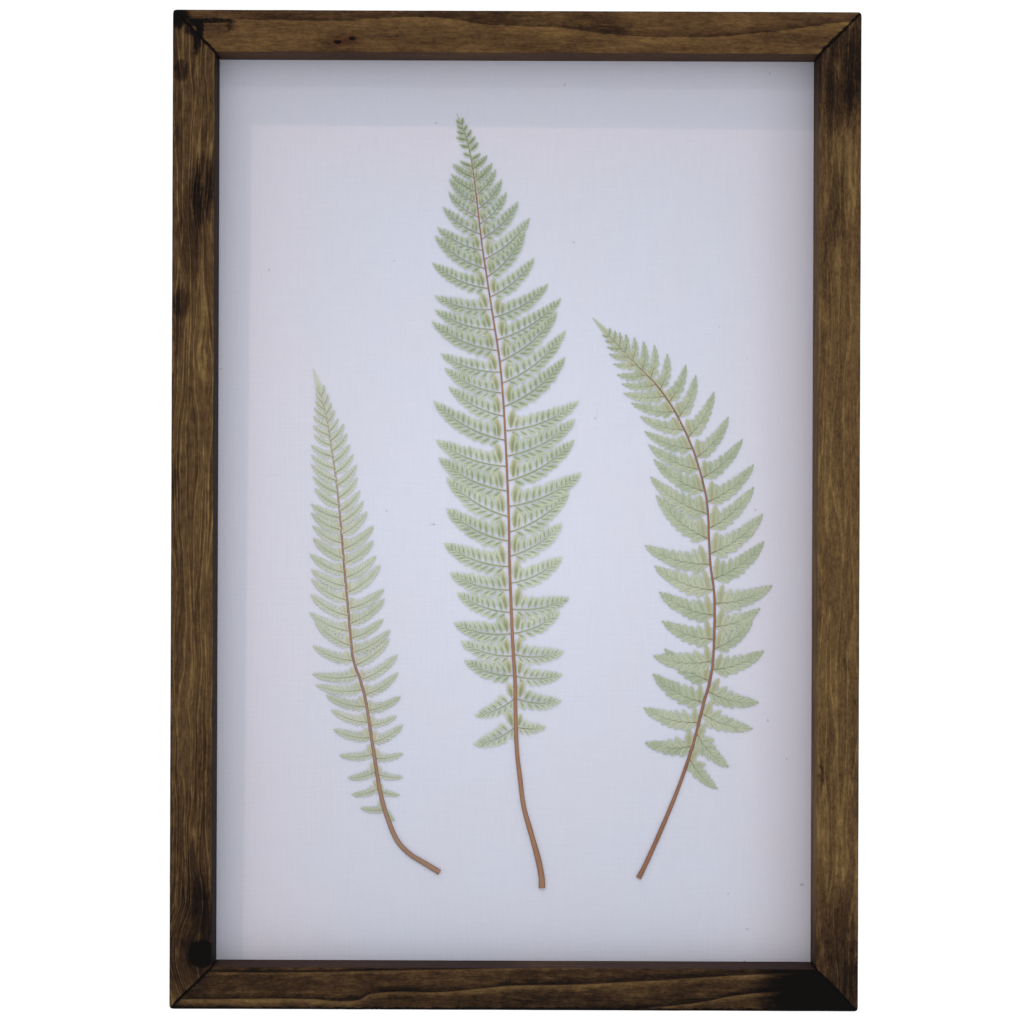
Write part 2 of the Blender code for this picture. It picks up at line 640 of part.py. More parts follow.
def flat_union(rings, leaves):
    """Points and triangles of the stalk and the side leaves, united in the plane of the picture."""
    stalk_outline = [ring[0] for ring in rings] + [ring[2] for ring in reversed(rings)]
    points, faces, ribs = [], [], []
    for outline in [stalk_outline] + [leaf.outline() for leaf in leaves]:
        first = len(points)
        points += counter_clockwise(outline)
        faces.append(list(range(first, len(points))))
    lines = [[ring[1] for ring in rings[1:-1]]]
    lines += [[leaf.rib(t) for t in RIB_STATIONS] for leaf in leaves if leaf.length > SMALL_LEAF]
    for line in lines:
        first = len(points)
        points += line
        ribs += [(i, i + 1) for i in range(first, len(points) - 1)]
    flat, _, triangles, _, _, inside = delaunay_2d_cdt(points, ribs, faces, CDT_INSIDE, CDT_MERGE)
    return flat, without_pinches(flat, [tuple(t) for t, owners in zip(triangles, inside) if owners])


def build_frond(name, frond, look):
    """One frond as one solid, flat behind and raised in front along the stalk and the ribs."""
    leaves = side_leaves(frond)
    flat, kept = flat_union(stalk_rings(frond), leaves)
    builder = bmesh.new()
    back, front = {}, {}
    for i in sorted({i for triangle in kept for i in triangle}):
        x, z = flat[i]
        height = max(max(leaf.height(flat[i]) for leaf in leaves), stalk_height(frond["stalk"], flat[i]))
        back[i] = builder.verts.new((x, FROND_BACK_Y, z))
        front[i] = builder.verts.new((x, FROND_BACK_Y - height, z))
    for a, b, c in kept:
        builder.faces.new((front[a], front[b], front[c]))
        builder.faces.new((back[c], back[b], back[a]))
    for a, b in open_sides(kept):
        builder.faces.new((front[b], front[a], back[a], back[b]))
    return finish_object(name, builder, look)


def main():
    """Builds the whole frame."""
    clear_scene()
    wood = material("stained_pine", (0.085, 0.052, 0.027), 0.55)
    cloth = material("linen", (0.70, 0.72, 0.80), 0.9)
    card = material("board", (0.75, 0.74, 0.70), 0.85)
    hardboard = material("hardboard", (0.25, 0.14, 0.07), 0.7)
    steel = material("steel", (0.6, 0.6, 0.6), 0.35, metallic=1.0)
    leaf = material("pressed_fern", (0.36, 0.42, 0.25), 0.75)

    rails = build_rails(wood)
    build_tabs(rails, wood, steel)
    build_hanger(rails["top"][0], wood, steel)

    build_linen(cloth)
    inset = LINEN + GAP
    half_w, half_h = BOARD_W / 2, BOARD_H / 2
    build_sheet("mount_board", half_w - inset, half_h - inset, BOARD_Y, BOARD_Y + BOARD_THICK, card)
    build_sheet("back_panel", half_w, half_h, PANEL_Y, PANEL_Y + PANEL_THICK, hardboard)

    for name, frond in (
        ("frond_left", FROND_LEFT),
        ("frond_middle", FROND_MIDDLE),
        ("frond_right", FROND_RIGHT),
    ):
        build_frond(name, frond, leaf)


main()
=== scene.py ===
"""The looks of a pressed fern frame: stained pine rails, a linen-covered board and three pressed fronds.

The solids come from the frame file. The fronds are grown again here with every leaflet, from the same places
on the stalk that their solids have.
"""
import logging
import math
from dataclasses import dataclass, field
from enum import Enum
from typing import Callable, Iterable, Sequence, Union

import bpy
import numpy as np
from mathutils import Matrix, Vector


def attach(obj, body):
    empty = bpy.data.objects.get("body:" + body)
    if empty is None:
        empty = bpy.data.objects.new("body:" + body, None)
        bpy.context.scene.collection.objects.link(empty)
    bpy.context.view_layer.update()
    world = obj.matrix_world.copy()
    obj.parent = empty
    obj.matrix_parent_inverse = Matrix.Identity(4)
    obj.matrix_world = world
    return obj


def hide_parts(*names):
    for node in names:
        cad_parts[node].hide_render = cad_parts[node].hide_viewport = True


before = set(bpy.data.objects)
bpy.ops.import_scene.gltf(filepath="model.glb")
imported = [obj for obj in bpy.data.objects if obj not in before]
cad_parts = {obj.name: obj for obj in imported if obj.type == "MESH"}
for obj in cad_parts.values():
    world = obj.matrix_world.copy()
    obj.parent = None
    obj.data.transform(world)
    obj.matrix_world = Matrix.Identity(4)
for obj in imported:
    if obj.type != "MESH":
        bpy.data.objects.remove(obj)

logging.basicConfig(level=logging.INFO, format="%(name)s: %(message)s")
log = logging.getLogger("fern frame")

MM = 0.001
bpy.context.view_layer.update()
BODY = "root"

Colour = tuple[float, float, float, float]


def srgb(red: int, green: int, blue: int) -> Colour:
    """The linear colour of an 8-bit display colour.

    Args:
        red: red, from 0 to 255.
        green: green, from 0 to 255.
        blue: blue, from 0 to 255.

    Returns:
        The colour in linear light, opaque.
    """
    def linear(channel: int) -> float:
        """One channel in linear light."""
        share = channel / 255
        return share / 12.92 if share <= 0.04045 else ((share + 0.055) / 1.055) ** 2.4

    return linear(red), linear(green), linear(blue), 1.0


class Value:
    """A number that a socket gives, on which Python's operators add Math nodes."""

    def __init__(self, graph: "Graph", socket: bpy.types.NodeSocket) -> None:
        """Wraps an output socket of a graph."""
        self.graph = graph
        self.socket = socket

    def __add__(self, other: "Number") -> "Value":
        """Sum."""
        return self.graph.math("ADD", self, other)

    def __sub__(self, other: "Number") -> "Value":
        """Difference."""
        return self.graph.math("SUBTRACT", self, other)

    def __rsub__(self, other: "Number") -> "Value":
        """Difference from a number."""
        return self.graph.math("SUBTRACT", other, self)

    def __mul__(self, other: "Number") -> "Value":
        """Product."""
        return self.graph.math("MULTIPLY", self, other)

    def __truediv__(self, other: "Number") -> "Value":
        """Quotient."""
        return self.graph.math("DIVIDE", self, other)

    def __rtruediv__(self, other: "Number") -> "Value":
        """Quotient of a number by this."""
        return self.graph.math("DIVIDE", other, self)

    def __neg__(self) -> "Value":
        """Negative."""
        return self.graph.math("MULTIPLY", self, -1.0)

    def __abs__(self) -> "Value":
        """Absolute value."""
        return self.graph.math("ABSOLUTE", self)

    __radd__ = __add__
    __rmul__ = __mul__

    def sin(self) -> "Value":
        """Sine."""
        return self.graph.math("SINE", self)

    def max(self, other: "Number") -> "Value":
        """The larger of two numbers."""
        return self.graph.math("MAXIMUM", self, other)

    def min(self, other: "Number") -> "Value":
        """The smaller of two numbers."""
        return self.graph.math("MINIMUM", self, other)

    def held(self) -> "Value":
        """The number, kept from 0 to 1."""
        return self.max(0.0).min(1.0)

    def between(self, low: float, high: float) -> "Value":
        """A smooth step from 0 at low to 1 at high, or down where high is below low.

        Args:
            low: the number that gives 0.
            high: the number that gives 1.

        Returns:
            The step.
        """
        flip = high < low
        node = self.graph.node(
            "ShaderNodeMapRange",
            {"interpolation_type": "SMOOTHSTEP"},
            {
                "Value": self,
                "From Min": min(low, high),
                "From Max": max(low, high),
                "To Min": 1.0 if flip else 0.0,
                "To Max": 0.0 if flip else 1.0,
            },
        )
        return Value(self.graph, node.outputs["Result"])


Number = Union[Value, float]
Tint = Union[Value, Colour]


class Graph:
    """The nodes of one material."""

    def __init__(self, name: str) -> None:
        """Starts a material with only its output.

        Args:
            name: the material's name.
        """
        self.material = bpy.data.materials.new(name)
        self.material.use_nodes = True
        self.tree = self.material.node_tree
        self.tree.nodes.clear()
        self.output = self.tree.nodes.new("ShaderNodeOutputMaterial")

    def node(self, kind: str, settings: dict | None = None, inputs: dict | None = None) -> bpy.types.Node:
        """Adds a node.

        Args:
            kind: the node's type.
            settings: its properties; "stops" is a ramp's list of (place, colour), and "course" a curve's points.
            inputs: a number, colour, vector or Value for each socket, by name or place.

        Returns:
            The node.
        """
        made = self.tree.nodes.new(kind)
        for name, setting in (settings or {}).items():
            if name == "stops":
                self._set_stops(made.color_ramp, setting)
            elif name == "course":
                self._set_course(made.mapping, setting)
            else:
                setattr(made, name, setting)
        for name, given in (inputs or {}).items():
            socket = made.inputs[name]
            if isinstance(given, Value):
                self.tree.links.new(given.socket, socket)
            else:
                socket.default_value = given
        return made

    @staticmethod
    def _set_stops(ramp: bpy.types.ColorRamp, stops: Sequence[tuple[float, Colour]]) -> None:
        """Gives a ramp its stops.

        Args:
            ramp: the ramp.
            stops: the place and colour of each stop.
        """
        while len(ramp.elements) < len(stops):
            ramp.elements.new(0.5)
        for element, (place, colour) in zip(ramp.elements, stops):
            element.position = place
            element.color = colour

    @staticmethod
    def _set_course(mapping: bpy.types.CurveMapping, course: Sequence[tuple[float, float]]) -> None:
        """Gives a curve its points.

        Args:
            mapping: the curve.
            course: its points, from 0 to 1 both ways.
        """
        points = mapping.curves[0].points
        while len(points) < len(course):
            points.new(0.5, 0.5)
        for point, spot in zip(points, course):
            point.location = spot
        mapping.update()

    def math(self, operation: str, *numbers: Number) -> Value:
        """Adds a Math node and gives its result."""
        made = self.node("ShaderNodeMath", {"operation": operation}, dict(enumerate(numbers)))
        return Value(self, made.outputs[0])

    def place(self) -> tuple[Value, Value, Value]:
        """The point on the surface in the part's own frame.

        Returns:
            x, y and z in millimetres.
        """
        point = self.node("ShaderNodeTexCoord").outputs["Object"]
        parts = self.node("ShaderNodeSeparateXYZ", None, {0: Value(self, point)})
        return tuple(Value(self, socket) / MM for socket in parts.outputs)

    def attribute(self, name: str) -> Value:
        """A number that each point of the mesh carries."""
        return Value(self, self.node("ShaderNodeAttribute", {"attribute_name": name}).outputs["Fac"])

    def vector(self, x: Number, y: Number, z: Number) -> Value:
        """A vector of three numbers."""
        return Value(self, self.node("ShaderNodeCombineXYZ", None, {0: x, 1: y, 2: z}).outputs[0])

    def noise(self, x: Number, y: Number, z: Number, detail: float = 2.0, rough: float = 0.5) -> Value:
        """Smooth noise, with one bump for each unit of x, y and z.

        Args:
            x: the first number that it hangs on.
            y: the second.
            z: the third.
            detail: how many finer layers it has.
            rough: how strong each finer layer is.

        Returns:
            Numbers of about -1 to 1.
        """
        made = self.node(
            "ShaderNodeTexNoise",
            {"noise_dimensions": "3D"},
            {"Vector": self.vector(x, y, z), "Scale": 1.0, "Detail": detail, "Roughness": rough},
        )
        return Value(self, made.outputs["Fac"]) * 2.0 - 1.0

    def mix(self, share: Number, first: Tint, second: Tint, blend: str = "MIX") -> Value:
        """Mixes two colours.

        Args:
            share: how much of the second shows.
            first: the colour at a share of 0.
            second: the colour at a share of 1.
            blend: the Mix node's blend type.

        Returns:
            The mixed colour.
        """
        made = self.node("ShaderNodeMix", {"data_type": "RGBA", "blend_type": blend}, {0: share, 6: first, 7: second})
        return Value(self, made.outputs[2])

    def curve(self, value: Value, course: Sequence[tuple[float, float]], reach: float, rise: float) -> Value:
        """A smooth curve through points.

        Args:
            value: where on the curve.
            course: its points, from -reach to reach and from 0 to rise.
            reach: half the curve's length.
            rise: the most that it gives.

        Returns:
            The curve's height.
        """
        scaled = [((spot + reach) / (2 * reach), height / rise) for spot, height in course]
        node = self.node("ShaderNodeFloatCurve", {"course": scaled}, {"Value": (value + reach) / (2 * reach)})
        return Value(self, node.outputs[0]) * rise

    def ramp(self, share: Number, stops: Sequence[tuple[float, Colour]]) -> Value:
        """A colour from a ramp."""
        made = self.node("ShaderNodeValToRGB", {"stops": stops}, {0: share})
        return Value(self, made.outputs["Color"])

    def finish(
        self,
        colour: Tint,
        roughness: Number,
        metallic: float = 0.0,
        specular: float = 0.5,
        height: Value | None = None,
        sheen: float = 0.0,
    ) -> bpy.types.Material:
        """Ends the material with a Principled shader.

        Args:
            colour: base colour.
            roughness: from 0 for gloss to 1 for matt.
            metallic: 1 for bare metal.
            specular: strength of the reflection.
            height: relief in millimetres, or None for a smooth surface.
            sheen: weight of the soft sheen of fibres.

        Returns:
            The material.
        """
        inputs = {
            "Base Color": colour,
            "Roughness": roughness,
            "Metallic": metallic,
            "Specular IOR Level": specular,
            "Sheen Weight": sheen,
        }
        if height is not None:
            bump = self.node("ShaderNodeBump", None, {"Strength": 1.0, "Distance": MM, "Height": height})
            inputs["Normal"] = Value(self, bump.outputs["Normal"])
        shader = self.node("ShaderNodeBsdfPrincipled", None, inputs)
        self.tree.links.new(shader.outputs["BSDF"], self.output.inputs["Surface"])
        return self.material


class Shape:
    """The points and faces of one mesh, gathered loft by loft in millimetres."""

    def __init__(self) -> None:
        """Starts an empty shape."""
        self.points: list[np.ndarray] = []
        self.faces: list[list[int]] = []
        self.looks: list[int] = []
        self.marks: dict[str, list[np.ndarray]] = {}
        self.count = 0

    def loft(self, rings: np.ndarray, marks: dict[str, np.ndarray | float] | None = None, look: int = 0) -> None:
        """Adds a closed body through rings of points.

        Args:
            rings: an array of stations by points by x, y and z.
            marks: numbers that the points carry, one for all or as arrays of stations by points.
            look: the place of its material in the mesh's list.
        """
        stations, around, _ = rings.shape
        start = self.count
        self.points.append(rings.reshape(-1, 3))
        for name, numbers in (marks or {}).items():
            self.marks.setdefault(name, []).append(np.broadcast_to(numbers, (stations, around)).reshape(-1))
        self.count += stations * around
        made = []
        for i in range(stations - 1):
            low = start + i * around
            high = low + around
            for j in range(around):
                k = (j + 1) % around
                made.append([low + j, low + k, high + k, high + j])
        made.append([start + j for j in reversed(range(around))])
        made.append([self.count - around + j for j in range(around)])
        self.faces += made
        self.looks += [look] * len(made)

    def grid(self, rows: np.ndarray) -> int:
        """Adds an open sheet.

        Args:
            rows: an array of rows by points by x, y and z.

        Returns:
            The number of its first point.
        """
        down, across, _ = rows.shape
        start = self.count
        self.points.append(rows.reshape(-1, 3))
        self.count += down * across
        for i in range(down - 1):
            for j in range(across - 1):
                a = start + i * across + j
                self.faces.append([a, a + 1, a + across + 1, a + across])
                self.looks.append(0)
        return start

    def row(self, points: np.ndarray) -> list[int]:
        """Adds loose points.

        Args:
            points: an array of points by x, y and z.

        Returns:
            Their numbers.
        """
        start = self.count
        self.points.append(points)
        self.count += len(points)
        return list(range(start, self.count))

    def strip(self, first: Sequence[int], second: Sequence[int]) -> None:
        """Joins two closed rows of points that are already there.

        Args:
            first: the numbers of one row's points.
            second: the numbers of the other row's points.
        """
        for j in range(len(first)):
            k = (j + 1) % len(first)
            self.faces.append([first[j], first[k], second[k], second[j]])
            self.looks.append(0)

    def make(self, name: str, materials: Sequence[bpy.types.Material], sharp_degrees: float = 40.0) -> bpy.types.Object:
        """Makes the object.

        Args:
            name: the piece's name.
            materials: its materials, in the order that the looks name.
            sharp_degrees: edges that bend more than this stay crisp.

        Returns:
            The object, in the scene.
        """
        mesh = bpy.data.meshes.new(name)
        points = np.concatenate(self.points) * MM
        mesh.from_pydata(points.tolist(), [], self.faces)
        for name_of_mark, parts in self.marks.items():
            layer = mesh.attributes.new(name_of_mark, "FLOAT", "POINT")
            layer.data.foreach_set("value", np.concatenate(parts).astype(np.float32))
        for material in materials:
            mesh.materials.append(material)
        mesh.polygons.foreach_set("material_index", self.looks)
        mesh.shade_smooth()
        mesh.set_sharp_from_angle(angle=math.radians(sharp_degrees))
        mesh.update()
        made = bpy.data.objects.new(name, mesh)
        bpy.context.scene.collection.objects.link(made)
        return made


def settle(piece: bpy.types.Object, slot: str, *nodes: str) -> bpy.types.Object:
    """Puts a piece on the frame's body, in place of solids.

    Args:
        piece: the object.
        slot: not used.
        nodes: the solids that it stands for.

    Returns:
        The piece.
    """
    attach(piece, BODY)
    if nodes:
        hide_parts(*nodes)
    log.info("%s: %d faces", piece.name, len(piece.data.polygons))
    return piece


def soft_noise(rng: np.random.Generator, length: float, scale: float) -> Callable[[np.ndarray], np.ndarray]:
    """A smooth random line.

    Args:
        rng: where the random numbers come from.
        length: how far the line runs.
        scale: the distance between its bends.

    Returns:
        A function from places on the line to numbers of about -1 to 1.
    """
    knots = rng.uniform(-1, 1, int(length / scale) + 4)

    def at(place: np.ndarray) -> np.ndarray:
        """The line's height.

        Args:
            place: places along the line.

        Returns:
            The height at each place.
        """
        spot = np.clip(np.asarray(place, float) / scale + 1, 0, len(knots) - 2.001)
        i = spot.astype(int)
        t = spot - i
        t = t * t * (3 - 2 * t)
        return knots[i] * (1 - t) + knots[i + 1] * t

    return at


def smooth(value: float, low: float, high: float) -> float:
    """A smooth step from 0 at low to 1 at high, or the other way down where high is below low."""
    t = min(max((value - low) / (high - low), 0.0), 1.0)
    return t * t * (3 - 2 * t)


def directions(spine: np.ndarray) -> tuple[np.ndarray, np.ndarray]:
    """The ways along and across a line in the picture.

    Args:
        spine: its places.

    Returns:
        Unit vectors along it and to its left, at each place.
    """
    run = np.gradient(spine, axis=0)
    run /= np.maximum(np.hypot(run[:, 0], run[:, 1]), 1e-6)[:, None]
    return run, np.stack([-run[:, 1], run[:, 0]], axis=1)


class Side(Enum):
    """A rail's place in the frame."""

    TOP = "top"
    BOTTOM = "bottom"
    LEFT = "left"
    RIGHT = "right"

    @property
    def upright(self) -> bool:
        """Whether the rail stands on its end."""
        return self in (Side.LEFT, Side.RIGHT)


@dataclass(frozen=True)
class Spot:
    """A knot or a patch of the wood, as its middle along the rail and in from the outer edge, and its size, in mm.

    A patch is darker than the wood, or lighter where its strength is below 0. The dark line along the bottom rail's
    lower edge is painted shade.
    """

    along: float
    inward: float
    length: float
    width: float
    strength: float = 1.0


@dataclass(frozen=True)
class Ring:
    """The edge of a growth ring, as (along, inward) points in mm: dark on one side and golden on the other."""

    course: tuple[tuple[float, float], ...]
    dark: float = 0.2
    gold: float = 0.2
    dark_reach: float = 3.0
    gold_reach: float = 4.0
    gold_outward: bool = False


@dataclass(frozen=True)
class StainedPine:
    """Knotty pine under a dark brown stain. Tones run from 0, nearly black, to 1, golden brown.

    Attributes:
        side: the rail that it is for.
        tone: its middle tone.
        lines: strength of the grain's lines.
        line_gap: distance between those lines in mm.
        speckle: strength of the finest grain.
        mottle: strength of the blotches.
        thread: strength of the fine streaks along the fibres.
        cloud: strength of the widest changes of tone.
        cast: the colour that the wood is multiplied by.
        fibre_slant: how far the fibres lean across the rail.
        painted_wall_shade: painted shade, a dark colour put on the side that faces the linen, down in the recess.
        painted_wall_shade_share: how much of that painted shade shows, most on the left rail and least on the right.
        halo: how much red-brown shows round a knot.
        rings: the edges of its growth rings.
        knots: its knots.
        patches: its patches.
        seed: its place in the noise, so that no two rails are alike.
    """

    side: Side
    tone: float
    lines: float
    line_gap: float
    speckle: float = 0.12
    mottle: float = 0.18
    thread: float = 0.08
    cloud: float = 0.13
    cast: Colour = (1.0, 1.0, 1.0, 1.0)
    fibre_slant: float = 0.0
    # Painted shade for the side that faces the linen, and how much of it shows.
    painted_wall_shade: Colour = srgb(58, 41, 37)
    painted_wall_shade_share: float = 0.7
    halo: float = 0.5
    rings: tuple[Ring, ...] = ()
    knots: tuple[Spot, ...] = ()
    patches: tuple[Spot, ...] = ()
    seed: float = 0.0

    FRONT = 16.0
    ROUND_THE_EDGE = 0.8
    LIP = (20.55, 20.78)
    RING_REACH = 170.0
    RING_RISE = 25.0
    PATCH_DEPTH = 0.4
    KNOT_DEPTH = 0.8
    HALO_DEPTH = 0.08
    MITRE_DEPTH = 0.5
    RIM_DEPTH = 0.1
    HALO_COLOUR = srgb(92, 50, 26)
    STOPS = (
        (0.0, srgb(12, 9, 8)),
        (0.2, srgb(34, 23, 16)),
        (0.4, srgb(63, 45, 29)),
        (0.6, srgb(93, 71, 45)),
        (0.8, srgb(118, 94, 58)),
        (1.0, srgb(146, 118, 72)),
    )

    def material(self, frame_width: float, frame_height: float) -> bpy.types.Material:
        """Makes the rail's own material.

        Args:
            frame_width: the frame's outer width in mm.
            frame_height: its outer height in mm.

        Returns:
            The material.
        """
        g = Graph("stained_pine_" + self.side.value)
        x, y, z = g.place()
        along, inward, reach = {
            Side.TOP: (x, frame_height - z, frame_width / 2),
            Side.BOTTOM: (x, z, frame_width / 2),
            Side.LEFT: (z - frame_height / 2, x + frame_width / 2, frame_height / 2),
            Side.RIGHT: (z - frame_height / 2, frame_width / 2 - x, frame_height / 2),
        }[self.side]
        across = inward + (y + self.FRONT) * self.ROUND_THE_EDGE
        for knot in self.knots:
            push = self._blob(along, inward, knot, 2.6, 0.9)
            across = across - push * (inward - knot.inward) * 0.5 * knot.strength
        sweep = g.noise(along / 60, across / 14, self.seed, 1.0) * 4.0
        cut = across + (sweep + g.noise(along / 17, across / 5, self.seed, 1.0) * 0.7)
        streak = g.noise(along / 80, cut / self.line_gap, self.seed, 1.0, 0.4)
        blot = g.noise(along / 2.8, inward / 2.4, self.seed + 23, 3.0, 0.6)
        gold_line = abs(streak).between(0.09, 0.0)
        dark_line = abs(streak - 0.22).between(0.14, 0.0)
        fibre = g.noise((along + inward * self.fibre_slant) / 11, cut / 0.8, self.seed + 5, 2.0, 0.6)
        speckle = g.noise(along / 2.0, across / 0.9, self.seed + 9, 2.0, 0.6)
        mottle = g.noise(along / 6, across / 2.4, self.seed + 3, 4.0, 0.62)
        thread = g.noise((along + inward * self.fibre_slant) / 7, cut / 0.4, self.seed + 13, 1.0)
        cloud = g.noise(along / 38, across / 10, self.seed + 11, 1.0)
        pore = g.noise((along + inward * 2.6) / 6, (cut - along * 0.2) / 0.55, self.seed + 17, 1.0).between(0.3, 0.55)
        tone = self.tone + fibre * 0.12 + speckle * self.speckle + mottle * self.mottle + cloud * self.cloud
        tone = tone + thread * self.thread
        tone = tone + (gold_line - dark_line * 0.55) * (0.75 + mottle * 0.6) * self.lines - pore * self.lines * 0.5
        for ring in self.rings:
            tone = tone + self._ring(g, ring, along, inward, mottle)
        for patch in self.patches:
            shade = self._blob(along + blot * 2.6, inward + blot * 1.5, patch, 1.0, 0.6)
            tone = tone - shade * (self.PATCH_DEPTH * patch.strength)
        halo = None
        ragged = g.noise(along / 0.8, inward / 0.7, self.seed + 29, 2.0)
        for knot in self.knots:
            eye = self._blob(along + blot * 0.8 + ragged * 0.7, inward + blot * 0.6 + ragged * 0.5, knot, 1.0, 0.3)
            ring_light = self._blob(along + blot * 2.0, inward + blot * 1.4, knot, 1.7, 0.7)
            tone = tone - eye * self.KNOT_DEPTH * knot.strength - ring_light * self.HALO_DEPTH * knot.strength
            shown = ring_light * (1.0 - eye)
            halo = shown if halo is None else halo.max(shown)
        mitre = (reach - abs(along) - inward) + mottle * 1.2 + cloud * 0.8
        tone = tone - mitre.between(1.5, 0.3) * self.MITRE_DEPTH
        rim = (inward + mottle * 0.8).between(1.4, 0.1)
        tone = tone - rim * self.RIM_DEPTH
        colour = g.ramp(tone, self.STOPS)
        if halo is not None:
            colour = g.mix(halo * self.halo, colour, self.HALO_COLOUR)
        colour = g.mix(1.0, colour, self.cast, "MULTIPLY")
        # Painted shade on the side that faces the linen, down in the recess, where the lamps reach less.
        colour = g.mix(inward.between(*self.LIP) * self.painted_wall_shade_share, colour, self.painted_wall_shade)
        relief = fibre * 0.03 + gold_line * 0.04 + mottle * 0.03 - pore * 0.03 - mitre.between(0.9, 0.1) * 0.25
        return g.finish(colour, 0.62 + mottle * 0.06, specular=0.07, height=relief)

    @staticmethod
    def _blob(along: Value, inward: Value, spot: Spot, swell: float, soft: float) -> Value:
        """The mask of an oval spot.

        Args:
            along: the place along the rail.
            inward: the place in from its outer edge.
            spot: the spot.
            swell: how many times its own size the mask has.
            soft: the share of the radius over which it fades.

        Returns:
            1 in the spot's middle and 0 past its edge.
        """
        a = (along - spot.along) / (spot.length * swell / 2)
        b = (inward - spot.inward) / (spot.width * swell / 2)
        return (a * a + b * b).between((1 + soft) ** 2, (1 - soft) ** 2)

    def _ring(self, g: Graph, ring: Ring, along: Value, inward: Value, mottle: Value) -> Value:
        """The tone that a growth ring adds beside its edge.

        Args:
            g: the material's nodes.
            ring: the growth ring.
            along: the place along the rail.
            inward: the place in from its outer edge.
            mottle: noise that frays the ring's edge.

        Returns:
            The tone to add.
        """
        off = inward - g.curve(along, ring.course, self.RING_REACH, self.RING_RISE) + mottle * 0.5
        if ring.gold_outward:
            off = -off
        gold = off.between(-0.15, 0.5) * off.between(ring.gold_reach, 0.4)
        dark = off.between(0.3, -0.25) * off.between(-ring.dark_reach, -0.2)
        return gold * ring.gold - dark * ring.dark


@dataclass(frozen=True)
class Linen:
    """White linen, plain woven, with a cool cast, warmer towards its sides and its top, painted shade at its right
    edge.

    A faint straight edge, shadow_edge_left and shadow_edge_top, parts the cloth's lighter middle from a painted shadow
    of the left and top rails, darker and bluer. shadow_edge_lean and shadow_edge_rise are how far that edge is out of
    upright and level, for each millimetre along it.
    """

    pitch: float = 0.62
    colour: Colour = srgb(219, 223, 239)
    shaded: Colour = srgb(201, 206, 224)
    warm: Colour = srgb(223, 220, 232)
    # Painted shadow of the left and top rails, along the cloth's left and top sides.
    painted_shadow: Colour = srgb(194, 203, 222)
    # Painted shade towards the cloth's right edge.
    painted_edge_shade: Colour = srgb(180, 175, 186)
    fleck: Colour = srgb(120, 116, 122)
    # The straight edge of that painted shadow.
    shadow_edge_left: float = -135.3
    shadow_edge_top: float = 436.4
    shadow_edge_lean: float = 0.0074
    shadow_edge_rise: float = 0.006
    shadow_edge_blur: float = 0.9
    warm_left: tuple[float, float] = (-60.0, -136.0)
    warm_right: tuple[float, float] = (92.0, 138.0)
    warm_top: tuple[float, float] = (385.0, 440.0)
    # Where the painted shade at the right edge begins and where it is full.
    painted_edge_shade_span: tuple[float, float] = (112.0, 138.0)

    def material(self) -> bpy.types.Material:
        """Makes the cloth's material.

        Returns:
            The material.
        """
        g = Graph("linen")
        x, y, z = g.place()
        wander_x = g.noise(x / 5, y / 5, z / 22, 1.0) * 0.16
        wander_z = g.noise(x / 22, y / 5, z / 5 + 9, 1.0) * 0.16
        warp = ((x + wander_x) * (math.pi / self.pitch)).sin()
        weft = ((z + wander_z) * (math.pi / self.pitch)).sin()
        cross = warp * weft
        over = (abs(warp) + cross) * 0.5
        under = (abs(weft) - cross) * 0.5
        height = over.max(under)
        slub_x = g.noise(x / 1.1, y, z / 14, 2.0)
        slub_z = g.noise(x / 14, y, z / 1.1 + 4, 2.0)
        cloudy = g.noise(x / 45, y / 45, z / 45, 2.0)
        speck = g.noise(x / 3.2, y / 3.2, z / 3.2 + 31, 0.0).between(0.80, 0.86)
        warmth = x.between(*self.warm_left).max(x.between(*self.warm_right)).max(z.between(*self.warm_top))
        tint = g.mix((cloudy * 0.4 + 0.1 + warmth * 0.7).held(), self.colour, self.warm)
        # Painted shadow of the left and top rails: beyond the straight edge the cloth takes a darker, bluer colour.
        left, top, blur = self.shadow_edge_left, self.shadow_edge_top, self.shadow_edge_blur
        out_of_painted_shadow = (x - z * self.shadow_edge_lean).between(left - blur, left + blur)
        out_of_painted_shadow = out_of_painted_shadow * (z + x * self.shadow_edge_rise).between(top + blur, top - blur)
        tint = g.mix((1 - out_of_painted_shadow) * 0.34, tint, self.painted_shadow)
        # Painted shade: darker towards the cloth's right edge, beside the right rail.
        tint = g.mix(x.between(*self.painted_edge_shade_span) * 0.3, tint, self.painted_edge_shade)
        dim = 0.34 - height * 0.34 + slub_x * 0.15 + slub_z * 0.15
        tint = g.mix(dim.held(), tint, self.shaded)
        tint = g.mix(speck * 0.35, tint, self.fleck)
        relief = height * 0.075 + slub_x * 0.02 + slub_z * 0.02
        return g.finish(tint, 0.9, specular=0.2, height=relief, sheen=0.08)


